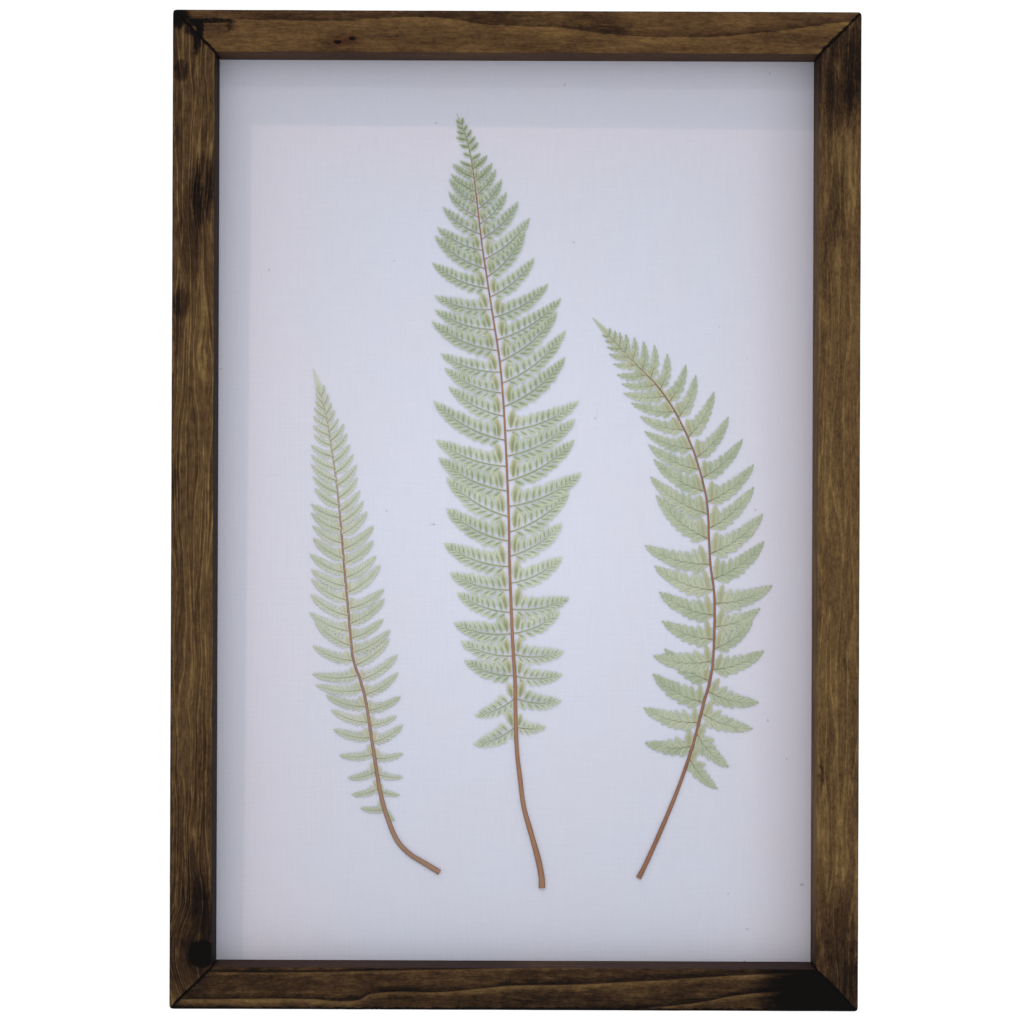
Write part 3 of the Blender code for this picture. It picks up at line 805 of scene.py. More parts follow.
@dataclass(frozen=True)
class FernLeaf:
    """Dried, pressed leaf of one frond."""

    name: str
    blade: Colour
    edge: Colour
    pale: Colour
    olive: Colour
    line: Colour
    veins: float = 0.4
    core: float = 0.2
    fade: float = 0.0

    MIDDLE_HEIGHT = 240

    def material(self) -> bpy.types.Material:
        """Makes the leaf's material, which reads the marks that the leaflets carry.

        Returns:
            The material.
        """
        g = Graph(self.name)
        x, y, z = g.place()
        across, tone, ripe = g.attribute("across"), g.attribute("tone"), g.attribute("ripe")
        along, lobe = g.attribute("along"), g.attribute("lobe")
        cells = g.noise(x / 0.6, y / 0.6, z / 0.6, 2.0)
        patch = g.noise(x / 5, y / 5, z / 5, 2.0)
        wide = g.noise(x / 38, y / 38, z / 38 + 5, 1.0)
        below = (self.MIDDLE_HEIGHT - z) / self.MIDDLE_HEIGHT
        share = tone * 0.45 + patch * 0.45 + wide * 0.3 + below * self.fade + 0.4
        colour = g.mix(share.held(), self.blade, self.pale)
        colour = g.mix((ripe + patch * 0.25).held(), colour, self.olive)
        rim = (across + cells * 0.2).between(0.4, 1.0) * 0.55 + along.between(0.6, 1.0) * 0.2
        colour = g.mix(rim.min(1.0), colour, self.edge)
        core = (across + cells * 0.3).between(0.8, 0.1) * along.between(0.0, 0.25) * along.between(1.0, 0.5)
        colour = g.mix(core * self.core, colour, self.line)
        midrib = (across + cells * 0.05).between(0.24, 0.0) * along.between(0.9, 0.2) * 0.3
        vein = abs(g.math("FRACT", lobe) - 0.6).between(0.2, 0.02) * lobe.between(0.0, 0.5) * self.veins
        colour = g.mix(midrib.max(vein * (0.7 + patch * 0.8)), colour, self.line)
        relief = cells * 0.02 + patch * 0.02 - vein * 0.05
        return g.finish(colour, 0.74 + cells * 0.05, specular=0.15, height=relief)


@dataclass(frozen=True)
class FernStalk:
    """Dried stalk: woody at the foot and greener towards the tips of the ribs."""

    name: str
    wood: Colour
    dark: Colour
    bright: Colour
    green: Colour

    def material(self) -> bpy.types.Material:
        """Makes the stalk's material, which reads how green and how far round each point is.

        Returns:
            The material.
        """
        g = Graph(self.name)
        x, y, z = g.place()
        green, round_it = g.attribute("green"), g.attribute("across")
        streak = g.noise(x / 0.35, y / 0.35, z / 7, 3.0, 0.6)
        blotch = g.noise(x / 4, y / 4, z / 9, 2.0)
        colour = g.mix((streak * 0.5 + 0.4 + blotch * 0.3).held(), self.wood, self.bright)
        colour = g.mix(round_it.between(0.5, 1.0) * 0.6, colour, self.dark)
        colour = g.mix((green + blotch * 0.1).held(), colour, self.green)
        return g.finish(colour, 0.6, specular=0.3, height=streak * 0.05)


@dataclass(frozen=True)
class Sheet:
    """A pressed sheet of wood fibre."""

    name: str
    base: Colour
    light: Colour
    dark: Colour

    def material(self) -> bpy.types.Material:
        """Makes the sheet's material, with its felted fibres and flecks.

        Returns:
            The material.
        """
        g = Graph(self.name)
        x, y, z = g.place()
        felt = g.noise(x / 1.6, y / 1.6, z / 0.7, 4.0, 0.65)
        fleck = g.noise(x / 0.8, y / 0.8, z / 2.2 + 3, 2.0)
        cloud = g.noise(x / 60, y / 60, z / 60, 2.0)
        colour = g.mix((0.4 + felt * 0.5 + cloud * 0.3).held(), self.base, self.light)
        colour = g.mix(fleck.between(0.25, 0.6) * 0.7, colour, self.dark)
        return g.finish(colour, 0.62 + felt * 0.08, specular=0.35, height=felt * 0.05)


@dataclass(frozen=True)
class Zinc:
    """Thin zinc-plated steel, scuffed and a little dulled."""

    bright: Colour = srgb(178, 176, 170)
    dull: Colour = srgb(140, 136, 128)

    def material(self) -> bpy.types.Material:
        """Makes the metal.

        Returns:
            The material.
        """
        g = Graph("zinc_plate")
        x, y, z = g.place()
        brushed = g.noise(x / 3, y / 0.3, z / 0.15, 2.0)
        scuffs = g.noise(x / 4, y / 4, z / 4 + 2, 3.0)
        colour = g.mix((0.5 + scuffs * 0.6).held(), self.bright, self.dull)
        return g.finish(colour, 0.34 + scuffs * 0.12 + brushed * 0.05, metallic=1.0, height=brushed * 0.01)


class Habit(Enum):
    """How a side leaf is divided."""

    LEAFLETS = "separate leaflets"
    TOOTHED = "a toothed blade"
    LOBED = "lobes that run together"


@dataclass(frozen=True)
class Growth:
    """How a frond grows its side leaves, in millimetres and degrees.

    Attributes:
        habit: how a side leaf is divided.
        breadth: the widest that a side leaf grows.
        start: the width of a side leaf before its length adds to it.
        slope: the width gained for each millimetre of length.
        pitch: distance between the lobes along a rib.
        most_pairs: the most lobes on one side of a rib.
        ear: share of the room above a side leaf that its first upper lobe fills.
        upper_lean: how far the upper lobes lean towards the side leaf's tip.
        lower_lean: the same for the lower lobes.
        fill: width of a lobe as a share of its pitch.
        split: share of the half width by which the lobes stand free.
        joined: how widely a lobe joins the rib, from 0 to 1.
        joined_from: place along the rib from which the lobes begin to run together.
        free_lengths: lobes begin to stand free above the first length, and wholly do above the second.
        free_heights: lobes begin to stand free below the first height, and wholly do below the second.
        wing: (z, half width) of the blade along the frond's tip.
        point: how far lobes narrow to a point, with their teeth cut deeper.
        crowd: how much closer lobes stand on short side leaves, as a share of their pitch.
        lush: how much wider the lowest side leaves are, as a share.
        lush_heights: that gain begins below the first height and is full below the second.
    """

    habit: Habit
    breadth: float
    start: float
    slope: float
    pitch: float
    most_pairs: int
    ear: float
    upper_lean: float
    lower_lean: float
    fill: float
    split: float
    joined: float
    joined_from: float
    free_lengths: tuple[float, float]
    free_heights: tuple[float, float]
    wing: tuple[tuple[float, float], ...]
    point: float = 0.0
    crowd: float = 0.0
    lush: float = 0.0
    lush_heights: tuple[float, float] = (340.0, 215.0)

    TAPER = 2.3
    LOBED_TAPER = 1.4

    def free(self, length: float, z: float) -> float:
        """How far the lobes of a side leaf stand free, from 0 to 1."""
        return smooth(length, *self.free_lengths) * smooth(z, *self.free_heights)

    def web(self, t: float, free: float) -> float:
        """Share of a side leaf's half width that the unbroken blade fills at t along its rib."""
        return 1.0 - self.split * free * (1.0 - smooth(t, self.joined_from, 0.97))

    def profile(self, t: float) -> float:
        """Half width of a side leaf along its rib.

        Args:
            t: place along the rib, from 0 to 1.

        Returns:
            The half width as a share of its fullest.
        """
        swell = smooth(t, -0.14, 0.14)
        power = self.LOBED_TAPER if self.habit is Habit.LOBED else self.TAPER
        return swell * max(0.0, 1.0 - t**power) ** 0.8


StalkPoint = tuple[float, float, float]
LeafPoint = tuple[float, float, float]


@dataclass
class Stalk:
    """A frond's stalk through (x, z, width) from the tip down, in millimetres."""

    stations: list[StalkPoint]

    def at(self, z: float) -> tuple[float, float, float]:
        """Place and thickness at a height.

        Args:
            z: height in mm.

        Returns:
            x, width, and the slope dx/dz.
        """
        points = self.stations
        i = max(0, min(len(points) - 2, sum(1 for point in points if point[1] > z) - 1))
        (x0, z0, w0), (x1, z1, w1) = points[i], points[i + 1]
        before, after = points[max(i - 1, 0)], points[min(i + 2, len(points) - 1)]
        span = z1 - z0
        slope0 = (x1 - before[0]) / (z1 - before[1])
        slope1 = (after[0] - x0) / (after[1] - z0)
        t = (z - z0) / span
        x = (
            (2 * t**3 - 3 * t**2 + 1) * x0
            + (t**3 - 2 * t**2 + t) * span * slope0
            + (3 * t**2 - 2 * t**3) * x1
            + (t**3 - t**2) * span * slope1
        )
        slope = (6 * t**2 - 6 * t) * (x0 - x1) / span + (3 * t**2 - 4 * t + 1) * slope0 + (3 * t**2 - 2 * t) * slope1
        return x, w0 + (w1 - w0) * t, slope

    @property
    def top(self) -> float:
        """Height of the tip."""
        return self.stations[0][1]

    @property
    def bottom(self) -> float:
        """Height of the cut end."""
        return self.stations[-1][1]


@dataclass
class SideLeaf:
    """One side leaf along a rib that curves towards the frond's tip.

    up is the way up the stalk, room is the distance to the side leaf above, order is its number from the frond's tip,
    and sag is the bend of its rib as a share of its length.
    """

    foot: np.ndarray
    tip: np.ndarray
    up: np.ndarray
    room: float
    growth: Growth
    order: int
    sag: float = 0.16

    def __post_init__(self) -> None:
        """Works out the rib's length, its bend and the blade's width."""
        chord = self.tip - self.foot
        self.length = float(np.hypot(*chord))
        across = np.array([-chord[1], chord[0]]) / self.length
        self.down = -across if across @ self.up > 0 else across
        self.bend = self.foot + chord / 2 + self.down * self.length * self.sag
        self.lush = smooth(float(self.foot[1]), *self.growth.lush_heights)
        self.gain = 1.0 + self.growth.lush * self.lush
        self.width = min(self.growth.breadth, self.growth.start + self.growth.slope * self.length) * self.gain
        self.free = self.growth.free(self.length, float(self.foot[1]))

    def rib(self, t: float) -> np.ndarray:
        """Point on the rib."""
        return self.foot * (1 - t) ** 2 + self.bend * 2 * t * (1 - t) + self.tip * t**2

    def axes(self, t: float) -> tuple[np.ndarray, np.ndarray]:
        """The rib's directions.

        Args:
            t: place along the rib, from 0 to 1.

        Returns:
            Unit vectors along the rib and across it, the second towards the frond's tip.
        """
        run = (self.bend - self.foot) * (1 - t) + (self.tip - self.bend) * t
        run = run / np.hypot(*run)
        across = np.array([-run[1], run[0]])
        return run, (across if across @ self.down < 0 else -across)

    def half(self, t: float) -> float:
        """Half width of the blade."""
        return self.width / 2 * self.growth.profile(t)


@dataclass
class Frond:
    """A pressed frond: its stalk, ribs and leaflets as one mesh."""

    name: str
    stalk: Stalk
    left: list[LeafPoint]
    right: list[LeafPoint]
    growth: Growth
    leaf: FernLeaf
    bark: FernStalk
    seed: int
    green_from: float
    rng: np.random.Generator = field(init=False)

    LINEN_FACE = -1.7
    LEAF_LIFT = 0.28
    STALK_LIFT = 0.12
    STALK_SIDES = 12
    RIB_SIDES = 6
    # Places along a leaflet, and its width there on a little stalk of its own and where it joins the rib.
    PLACES = np.array([0.0, 0.13, 0.3, 0.46, 0.62, 0.8, 1.0])
    STALKED = np.array([0.12, 0.54, 0.86, 1.0, 0.99, 0.74, 0.14])
    JOINED = np.array([0.95, 1.0, 1.02, 1.0, 0.9, 0.62, 0.1])

    def __post_init__(self) -> None:
        """Seeds the small differences between the leaflets."""
        self.rng = np.random.default_rng(self.seed)

    def side_leaves(self) -> list[SideLeaf]:
        """Lays out the side leaves.

        Returns:
            Every side leaf, from the tip down, left side first.
        """
        leaves = []
        for side in (self.left, self.right):
            above = self.stalk.top
            for order, (foot_z, tip_x, tip_z) in enumerate(side):
                x, _, slope = self.stalk.at(foot_z)
                up = np.array([slope, 1.0]) / math.hypot(slope, 1.0)
                foot, tip = np.array([x, foot_z]), np.array([tip_x, tip_z])
                leaves.append(SideLeaf(foot, tip, up, above - foot_z, self.growth, order))
                above = foot_z
        return leaves

    def lay(self, flat: np.ndarray, lift: np.ndarray | float) -> np.ndarray:
        """Points on the board from places in the picture and heights off the linen."""
        height = np.broadcast_to(lift, flat.shape[:-1])
        return np.stack([flat[..., 0], self.LINEN_FACE - height, flat[..., 1]], axis=-1)

    def add_blade(
        self,
        shape: Shape,
        spine: np.ndarray,
        halves: tuple[np.ndarray, np.ndarray],
        lift: np.ndarray | float,
        crown: float,
        marks: dict[str, float],
        push: np.ndarray | float = 0.0,
        lobe: np.ndarray | float = 0.0,
    ) -> None:
        """Adds a thin blade with a crowned face along a spine.

        Args:
            shape: the mesh to add to.
            spine: the midrib's places in the picture, from foot to tip.
            halves: the half widths on its two sides, one for each place.
            lift: height of its rim off the linen.
            crown: how far its middle stands above the rim.
            marks: the numbers that it carries.
            push: how far each place on the rim is pushed on towards the tip.
            lobe: how many lobes lie before each place, for the veins.
        """
        count = len(spine)
        run, across = directions(spine)
        pushed = np.broadcast_to(push, (count,))[:, None] * run
        rise = np.broadcast_to(lift, (count,))
        columns, heights = [], []
        for side, share in ((0, 1.0), (0, 0.5), (0, 0.0), (1, 0.5), (1, 1.0)):
            sign = 1 if side == 0 else -1
            columns.append(spine + across * (sign * share * halves[side])[:, None] + pushed * share)
            heights.append(rise + crown * (1 - share**2) - (0.35 * crown if share == 0 else 0.0))
        columns.append(spine)
        heights.append(rise - 0.1)
        flat = np.stack(columns, axis=1)
        rings = self.lay(flat, np.stack(heights, axis=1))
        carried = {
            "across": np.array([1.0, 0.5, 0.0, 0.5, 1.0, 0.0]),
            "along": np.linspace(0, 1, count)[:, None],
            "tone": marks["tone"],
            "ripe": marks["ripe"],
            "green": 0.0,
            "lobe": np.broadcast_to(lobe, (count,))[:, None],
        }
        shape.loft(rings, carried, 0)

    def add_tube(
        self,
        shape: Shape,
        spine: np.ndarray,
        widths: np.ndarray,
        lift: np.ndarray | float,
        green: np.ndarray,
        sides: int,
        flatness: float = 0.5,
        groove: float = 0.0,
    ) -> None:
        """Adds a flattened tube for a stalk or a rib.

        Args:
            shape: the mesh to add to.
            spine: its places in the picture.
            widths: its width at each place.
            lift: height of its underside.
            green: how green each place is.
            sides: points round it.
            flatness: its height as a share of its width.
            groove: depth of the channel along its face, as a share of its height.
        """
        _, across = directions(spine)
        turns = np.arange(sides) * math.tau / sides
        out, rise = np.cos(turns), np.sin(turns)
        channel = groove * np.clip(1 - np.abs(out) / 0.45, 0, 1) * (rise > 0)
        flat = spine[:, None, :] + across[:, None, :] * (widths[:, None] / 2 * out[None, :])[..., None]
        base = np.broadcast_to(lift, (len(spine),))[:, None]
        height = base + widths[:, None] * flatness * ((rise * (1 - channel) + 1) / 2)[None, :]
        carried = {
            "across": np.abs(out) * (rise > -0.5),
            "along": 0.0,
            "tone": 0.0,
            "ripe": 0.0,
            "green": green[:, None],
            "lobe": 0.0,
        }
        shape.loft(self.lay(flat, height), carried, 1)

    def add_leaflet(
        self,
        shape: Shape,
        foot: np.ndarray,
        towards: np.ndarray,
        size: tuple[float, float],
        curl: np.ndarray,
        lift: float,
        marks: dict[str, float],
        sessile: float,
    ) -> None:
        """Adds one leaflet or lobe.

        Args:
            shape: the mesh to add to.
            foot: where it leaves the rib.
            towards: unit vector along it.
            size: its length and full width.
            curl: the way that its tip bends, as far as it bends.
            lift: height of its rim.
            marks: the numbers that it carries.
            sessile: 0 on a little stalk of its own, 1 joined to the rib by its whole width.
        """
        length, width = size
        u, point = self.PLACES, self.growth.point
        form = (self.STALKED * (1 - sessile) + self.JOINED * sessile) * (1 - point * u**2)
        spine = foot + towards * (u * length)[:, None] + curl * (u**2)[:, None]
        jitter = self.rng.uniform(0.93, 1.07, (2, len(u)))
        odd = np.arange(len(u)) % 2 == 1
        bite = np.where(odd, 1.05 + 0.2 * point, 0.93 - 0.2 * point)
        halves = tuple(form * width / 2 * jitter[i] * bite for i in (0, 1))
        push = np.where(odd, 0.13 * width, 0.0)
        self.add_blade(shape, spine, halves, lift + 0.06 * u, 0.14, marks, push)

    def add_rib(self, shape: Shape, leaf: SideLeaf, lift: float) -> None:
        """Adds a side leaf's rib, woody beside the stalk.

        Args:
            shape: the mesh to add to.
            leaf: the side leaf.
            lift: a height just below the rib's underside.
        """
        t = np.linspace(0.0, 0.97, 14)
        spine = np.array([leaf.rib(s) for s in t])
        thick = 0.16 + 0.2 * min(leaf.length / 34, 1.0)
        widths = thick * (1 - 0.8 * t**0.7) + 0.04
        woody = 2.6 / max(leaf.length, 3.0)
        green = np.array([0.1 + 0.9 * smooth(s, woody * 0.4, woody * 2.6) for s in t])
        self.add_tube(shape, spine, widths, lift + 0.02, green, self.RIB_SIDES, 0.6)

    def add_side_leaf(self, shape: Shape, leaf: SideLeaf) -> None:
        """Adds a side leaf: its unbroken blade, its leaflets or lobes, and its rib.

        Args:
            shape: the mesh to add to.
            leaf: the side leaf.
        """
        rng, growth = self.rng, self.growth
        lift = self.LEAF_LIFT + 0.16 * (leaf.order % 2) + rng.uniform(0, 0.08)
        base_tone = rng.uniform(-0.4, 0.4)
        marks = {"tone": base_tone, "ripe": 0.0}
        pitch, slant, depth = {
            Habit.LEAFLETS: (2.1, 0.35, 0.16 + 0.08 * leaf.free),
            Habit.TOOTHED: (1.8, 0.45, 0.16),
            Habit.LOBED: (2.9, 0.6, 0.18 + 0.22 * smooth(leaf.length, 6, 24)),
        }[growth.habit]
        self._add_web(shape, leaf, lift, marks, pitch, slant, depth)
        if leaf.free > 0.05:
            self._add_pairs(shape, leaf, lift, base_tone)
        if leaf.length > 2.5:
            self.add_rib(shape, leaf, lift + 0.1)

    def _add_web(
        self,
        shape: Shape,
        leaf: SideLeaf,
        lift: float,
        marks: dict[str, float],
        pitch: float,
        slant: float,
        depth: float,
    ) -> None:
        """Adds the unbroken part of a side leaf's blade, with its lobed or toothed rim.

        Args:
            shape: the mesh to add to.
            leaf: the side leaf.
            lift: height of its rim.
            marks: the numbers that it carries.
            pitch: length of a lobe along the rib.
            slant: how far the rim leans on towards the tip, as a share of the half width.
            depth: how deep the notches between the lobes are, as a share of the half width.
        """
        lobes = max(3, round(leaf.length / pitch))
        steps = np.array([0.0, 0.22, 0.5, 0.8])
        number = np.concatenate([(np.arange(lobes)[:, None] + steps).reshape(-1), [lobes]])
        t = np.clip(number / lobes, 0, 1)
        t = 1 - (1 - t) ** 1.12
        fading = 1 - 0.55 * t
        notch = np.tile([1 - depth * 1.5, 1 - depth * 0.3, 1.0, 1 + depth * 0.55], lobes)
        saw = np.append(1 + (notch - 1) * fading[:-1], 1.0)
        spine = np.array([leaf.rib(u) for u in t])
        half = np.array([leaf.half(u) * self.growth.web(u, leaf.free) for u in t])
        half[0] = max(half[0], 0.12)
        half[-1] = 0.04
        uneven = np.append(np.repeat(self.rng.uniform(0.88, 1.12, (2, lobes)), 4, axis=1), [[1.0], [1.0]], axis=1)
        wobble = self.rng.uniform(0.96, 1.04, (2, len(t))) * uneven
        upper_on_left = leaf.axes(0.5)[1] @ self._left_of(spine) > 0
        share = (1.06, 0.94) if upper_on_left else (0.94, 1.06)
        halves = (half * saw * wobble[0] * share[0], half * saw * wobble[1] * share[1])
        point = np.append(np.tile([0.0, 0.1, 0.25, 0.55], lobes) * pitch * fading[:-1] * min(depth * 4, 1.0), 0.0)
        push = half * slant * (1 - 0.4 * t) + point
        droop = lift - 0.05 * np.sin(t * math.pi)
        veined = self.growth.habit is not Habit.LEAFLETS
        self.add_blade(shape, spine, halves, droop, 0.12, marks, push, number if veined else 0.0)

    @staticmethod
    def _left_of(spine: np.ndarray) -> np.ndarray:
        """The way to the left of a spine at its middle.

        Args:
            spine: its places in the picture.

        Returns:
            A unit vector.
        """
        middle = len(spine) // 2
        run = spine[middle + 1] - spine[middle - 1]
        run = run / np.hypot(*run)
        return np.array([-run[1], run[0]])

    def _add_pairs(self, shape: Shape, leaf: SideLeaf, lift: float, base_tone: float) -> None:
        """Adds the leaflets on both sides of a rib, the first upper one enlarged beside the stalk.

        Args:
            shape: the mesh to add to.
            leaf: the side leaf.
            lift: height of its blade's rim.
            base_tone: the side leaf's own tone, round which its leaflets differ.
        """
        growth, rng = self.growth, self.rng
        pitch = growth.pitch * (1.0 - growth.crowd * smooth(leaf.length, 26.0, 8.0))
        pairs = max(2, min(growth.most_pairs, round(leaf.length / pitch)))
        for upper in (True, False):
            places = [self._pair_place(i + (0.0 if upper else 0.42), pairs) for i in range(pairs + 1)]
            for i, t in enumerate(places[:-1]):
                gap = (places[i + 1] - t) * leaf.length
                run, across = leaf.axes(t)
                side = across if upper else -across
                lean = (growth.upper_lean if upper else growth.lower_lean) + 22 * t + rng.uniform(-4, 4)
                lean = math.radians(lean + (14 if upper else 4) * growth.lush * leaf.lush)
                towards = side * math.cos(lean) + run * math.sin(lean)
                reach = leaf.half(t) * (1.04 if upper else 1.06) * rng.uniform(0.92, 1.06)
                width = gap * growth.fill * math.cos(lean * 0.8) * rng.uniform(0.92, 1.06)
                ripe = 0.0
                if upper and leaf.length > 9 and i < 2:
                    share = (1.0, 0.14)[i]
                    ear = min(leaf.room * growth.ear, leaf.width * 0.9)
                    reach = reach + max(ear - reach, 0.0) * share
                    along_stalk = leaf.up + run * 0.13
                    towards = towards * (1 - share) + along_stalk * share
                    towards = towards / np.hypot(*towards)
                    width = max(width, min(reach * (0.44 + 0.1 * growth.joined), gap * 1.1))
                    ripe = (0.6, 0.12)[i]
                foot = leaf.rib(t) + side * 0.1 + (run * width * 0.35 if i == 0 and upper else 0.0)
                sessile = max(growth.joined, smooth(t, 0.45, 0.9))
                tone = base_tone + rng.uniform(-0.5, 0.5)
                stem = reach * 0.12 * (1 - sessile)
                curl = run * reach * 0.1 - leaf.down * (0.1 * reach)
                self.add_leaflet(
                    shape,
                    foot + towards * stem,
                    towards,
                    (max(reach / math.cos(lean) ** 0.4 - stem, 0.5) if i or not upper else reach - stem, width),
                    curl,
                    lift + 0.05 + 0.05 * (i % 2),
                    {"tone": tone, "ripe": ripe + 0.08 * rng.uniform(-1, 1)},
                    sessile,
                )

    @staticmethod
    def _pair_place(number: float, pairs: int) -> float:
        """Place along the rib of a leaflet: they crowd towards the tip."""
        return 0.035 + 0.91 * (1 - max(0.0, 1 - number / (pairs + 0.6)) ** 1.3)

    def add_wing(self, shape: Shape) -> None:
        """Adds the narrow toothed blade that runs along the frond's tip.

        Args:
            shape: the mesh to add to.
        """
        heights = [z for z, _ in self.growth.wing]
        widths = [half for _, half in self.growth.wing]
        count = 2 * round((heights[0] - heights[-1]) / 1.6)
        z = np.linspace(heights[-1], heights[0], count + 1)
        spine = np.array([(self.stalk.at(height)[0], height) for height in z])
        half = np.interp(z, heights[::-1], widths[::-1])
        odd = np.arange(count + 1) % 2 == 1
        saw = half * np.where(odd, 1.12, 0.84)
        push = np.where(odd, 0.6, 0.0) * half
        marks = {"tone": 0.0, "ripe": 0.0}
        self.add_blade(shape, spine, (saw, saw), self.LEAF_LIFT - 0.06, 0.08, marks, push)

    def add_stalk(self, shape: Shape) -> None:
        """Adds the stalk, grooved along its face and flared at the cut.

        Args:
            shape: the mesh to add to.
        """
        top, bottom = self.stalk.top, self.stalk.bottom
        heights = np.linspace(top, bottom, round((top - bottom) / 2.0) + 1)
        spine, widths, green = [], [], []
        for z in heights:
            x, width, _ = self.stalk.at(z)
            spine.append((x, z))
            widths.append(width)
            green.append(0.85 * smooth(z, self.green_from, (self.green_from + top) / 2))
        spine = np.array(spine)
        widths = np.array(widths)
        knobs = 1 + 0.05 * soft_noise(self.rng, top - bottom, 4.0)(top - heights)
        girth = np.array([0.74 + 0.26 * smooth(z, (top + bottom) / 2, bottom) for z in heights])
        widths = widths * knobs * girth
        widths[-2:] *= (1.06, 1.1)
        self.add_tube(shape, spine, widths, self.STALK_LIFT, np.array(green), self.STALK_SIDES, 0.52, 0.22)

    def build(self) -> bpy.types.Object:
        """Builds and dresses the frond.

        Returns:
            The frond, in the scene.
        """
        shape = Shape()
        self.add_stalk(shape)
        self.add_wing(shape)
        for leaf in self.side_leaves():
            self.add_side_leaf(shape, leaf)
        piece = shape.make("pressed_" + self.name, [self.leaf.material(), self.bark.material()], 60.0)
        return settle(piece, self.name.replace("frond", "fern"), self.name)


@dataclass
class Surround:
    """The four mitred rails, in millimetres."""

    width: float
    height: float
    front: float = -16.0
    back: float = 16.0
    face: float = 20.8
    lip_back: float = -2.0
    rebate: float = 16.1
    radius: float = 0.9
    clearance: float = 0.09
    step: float = 5.0
    corner: float = 2.2
    blunt: float = 0.6
    near_end: tuple[float, ...] = (0.3, 0.7, 1.2, 1.8, 2.6)
    dip: float = 0.09
    dip_length: float = 38.0
    nick: float = 0.05
    nick_length: float = 7.0
    wear_reach: float = 1.2

    def profile(self) -> np.ndarray:
        """A rail's section, its long faces split for the shading and the wear.

        Returns:
            Its closed outline as (in from the outer edge, y).
        """
        corners = [
            (0.0, self.front, self.radius),
            (self.face, self.front, self.radius * 0.8),
            (self.face, self.lip_back, 0.0),
            (self.rebate, self.lip_back, 0.0),
            (self.rebate, self.back, 0.25),
            (0.0, self.back, self.radius),
        ]
        points: list[tuple[float, float]] = []
        for i, (inward, y, radius) in enumerate(corners):
            here = np.array([inward, y])
            before = np.array(corners[i - 1][:2]) - here
            after = np.array(corners[(i + 1) % len(corners)][:2]) - here
            before, after = before / np.hypot(*before), after / np.hypot(*after)
            if radius == 0.0:
                points.append((inward, y))
                continue
            centre = here + (before + after) * radius
            for turn in np.linspace(0, math.pi / 2, 5):
                spot = centre - after * radius * math.cos(turn) - before * radius * math.sin(turn)
                points.append(tuple(spot))
        return self._split(points)

    @staticmethod
    def _split(points: list[tuple[float, float]], longest: float = 4.0) -> np.ndarray:
        """Adds points to a closed outline until no side is long.

        Args:
            points: the outline.
            longest: the longest side that it may keep.

        Returns:
            The denser outline.
        """
        dense: list[np.ndarray] = []
        for here, after in zip(points, points[1:] + points[:1]):
            here, after = np.array(here), np.array(after)
            parts = max(1, math.ceil(np.hypot(*(after - here)) / longest))
            dense += [here + (after - here) * i / parts for i in range(parts)]
        return np.array(dense)

    def rail(self, side: Side, finish: StainedPine, seed: int) -> bpy.types.Object:
        """Builds one rail, with hand-rubbed faces that wander by a tenth of a millimetre.

        Args:
            side: its place in the frame.
            finish: its wood.
            seed: where its small differences start.

        Returns:
            The rail, in the scene.
        """
        rng = np.random.default_rng(seed)
        length = self.height if side.upright else self.width
        section = self.profile()
        stations = round(length / self.step)
        near_end = 1 - np.array(self.near_end) / (length / 2)
        share = np.unique(np.concatenate([np.linspace(-1, 1, stations + 1), near_end, -near_end]))[:, None]
        to_corner = np.clip(length / 2 * (1 - np.abs(share)) + self.blunt, 0, self.corner)
        rounding = self.corner - np.sqrt(self.corner**2 - (self.corner - to_corner) ** 2)
        half = (length / 2 - np.maximum(section[:, 0], self.blunt) - self.clearance)[None, :]
        along = share * half
        dips = soft_noise(rng, length, self.dip_length)(along + length / 2) * self.dip
        nicks = soft_noise(rng, length, self.nick_length)(along + length / 2) * self.nick
        inward = np.broadcast_to(section[:, 0], along.shape)
        depth = np.broadcast_to(section[:, 1], along.shape)
        on_front = np.clip((self.front + self.wear_reach - depth) / self.wear_reach, 0, 1)
        on_outer = np.clip((self.wear_reach - inward) / self.wear_reach, 0, 1)
        y = depth + (np.abs(dips) + np.abs(nicks)) * on_front
        inset = np.maximum(inward + (np.abs(nicks) + 0.5 * np.abs(dips)) * on_outer, rounding)
        if side.upright:
            x = inset - self.width / 2 if side is Side.LEFT else self.width / 2 - inset
            rings = np.stack([x, y, self.height / 2 + along], axis=-1)
        else:
            z = self.height - inset if side is Side.TOP else inset
            rings = np.stack([along, y, z], axis=-1)
        if side in (Side.TOP, Side.RIGHT):
            rings = rings[:, ::-1]
        shape = Shape()
        shape.loft(rings)
        material = finish.material(self.width, self.height)
        piece = shape.make("pine_rail_" + side.value, [material], 35.0)
        return settle(piece, "stained_pine", "rail_" + side.value)

    def build(self, finishes: Iterable[StainedPine]) -> None:
        """Builds the four rails."""
        for seed, finish in enumerate(finishes, 41):
            self.rail(finish.side, finish, seed)


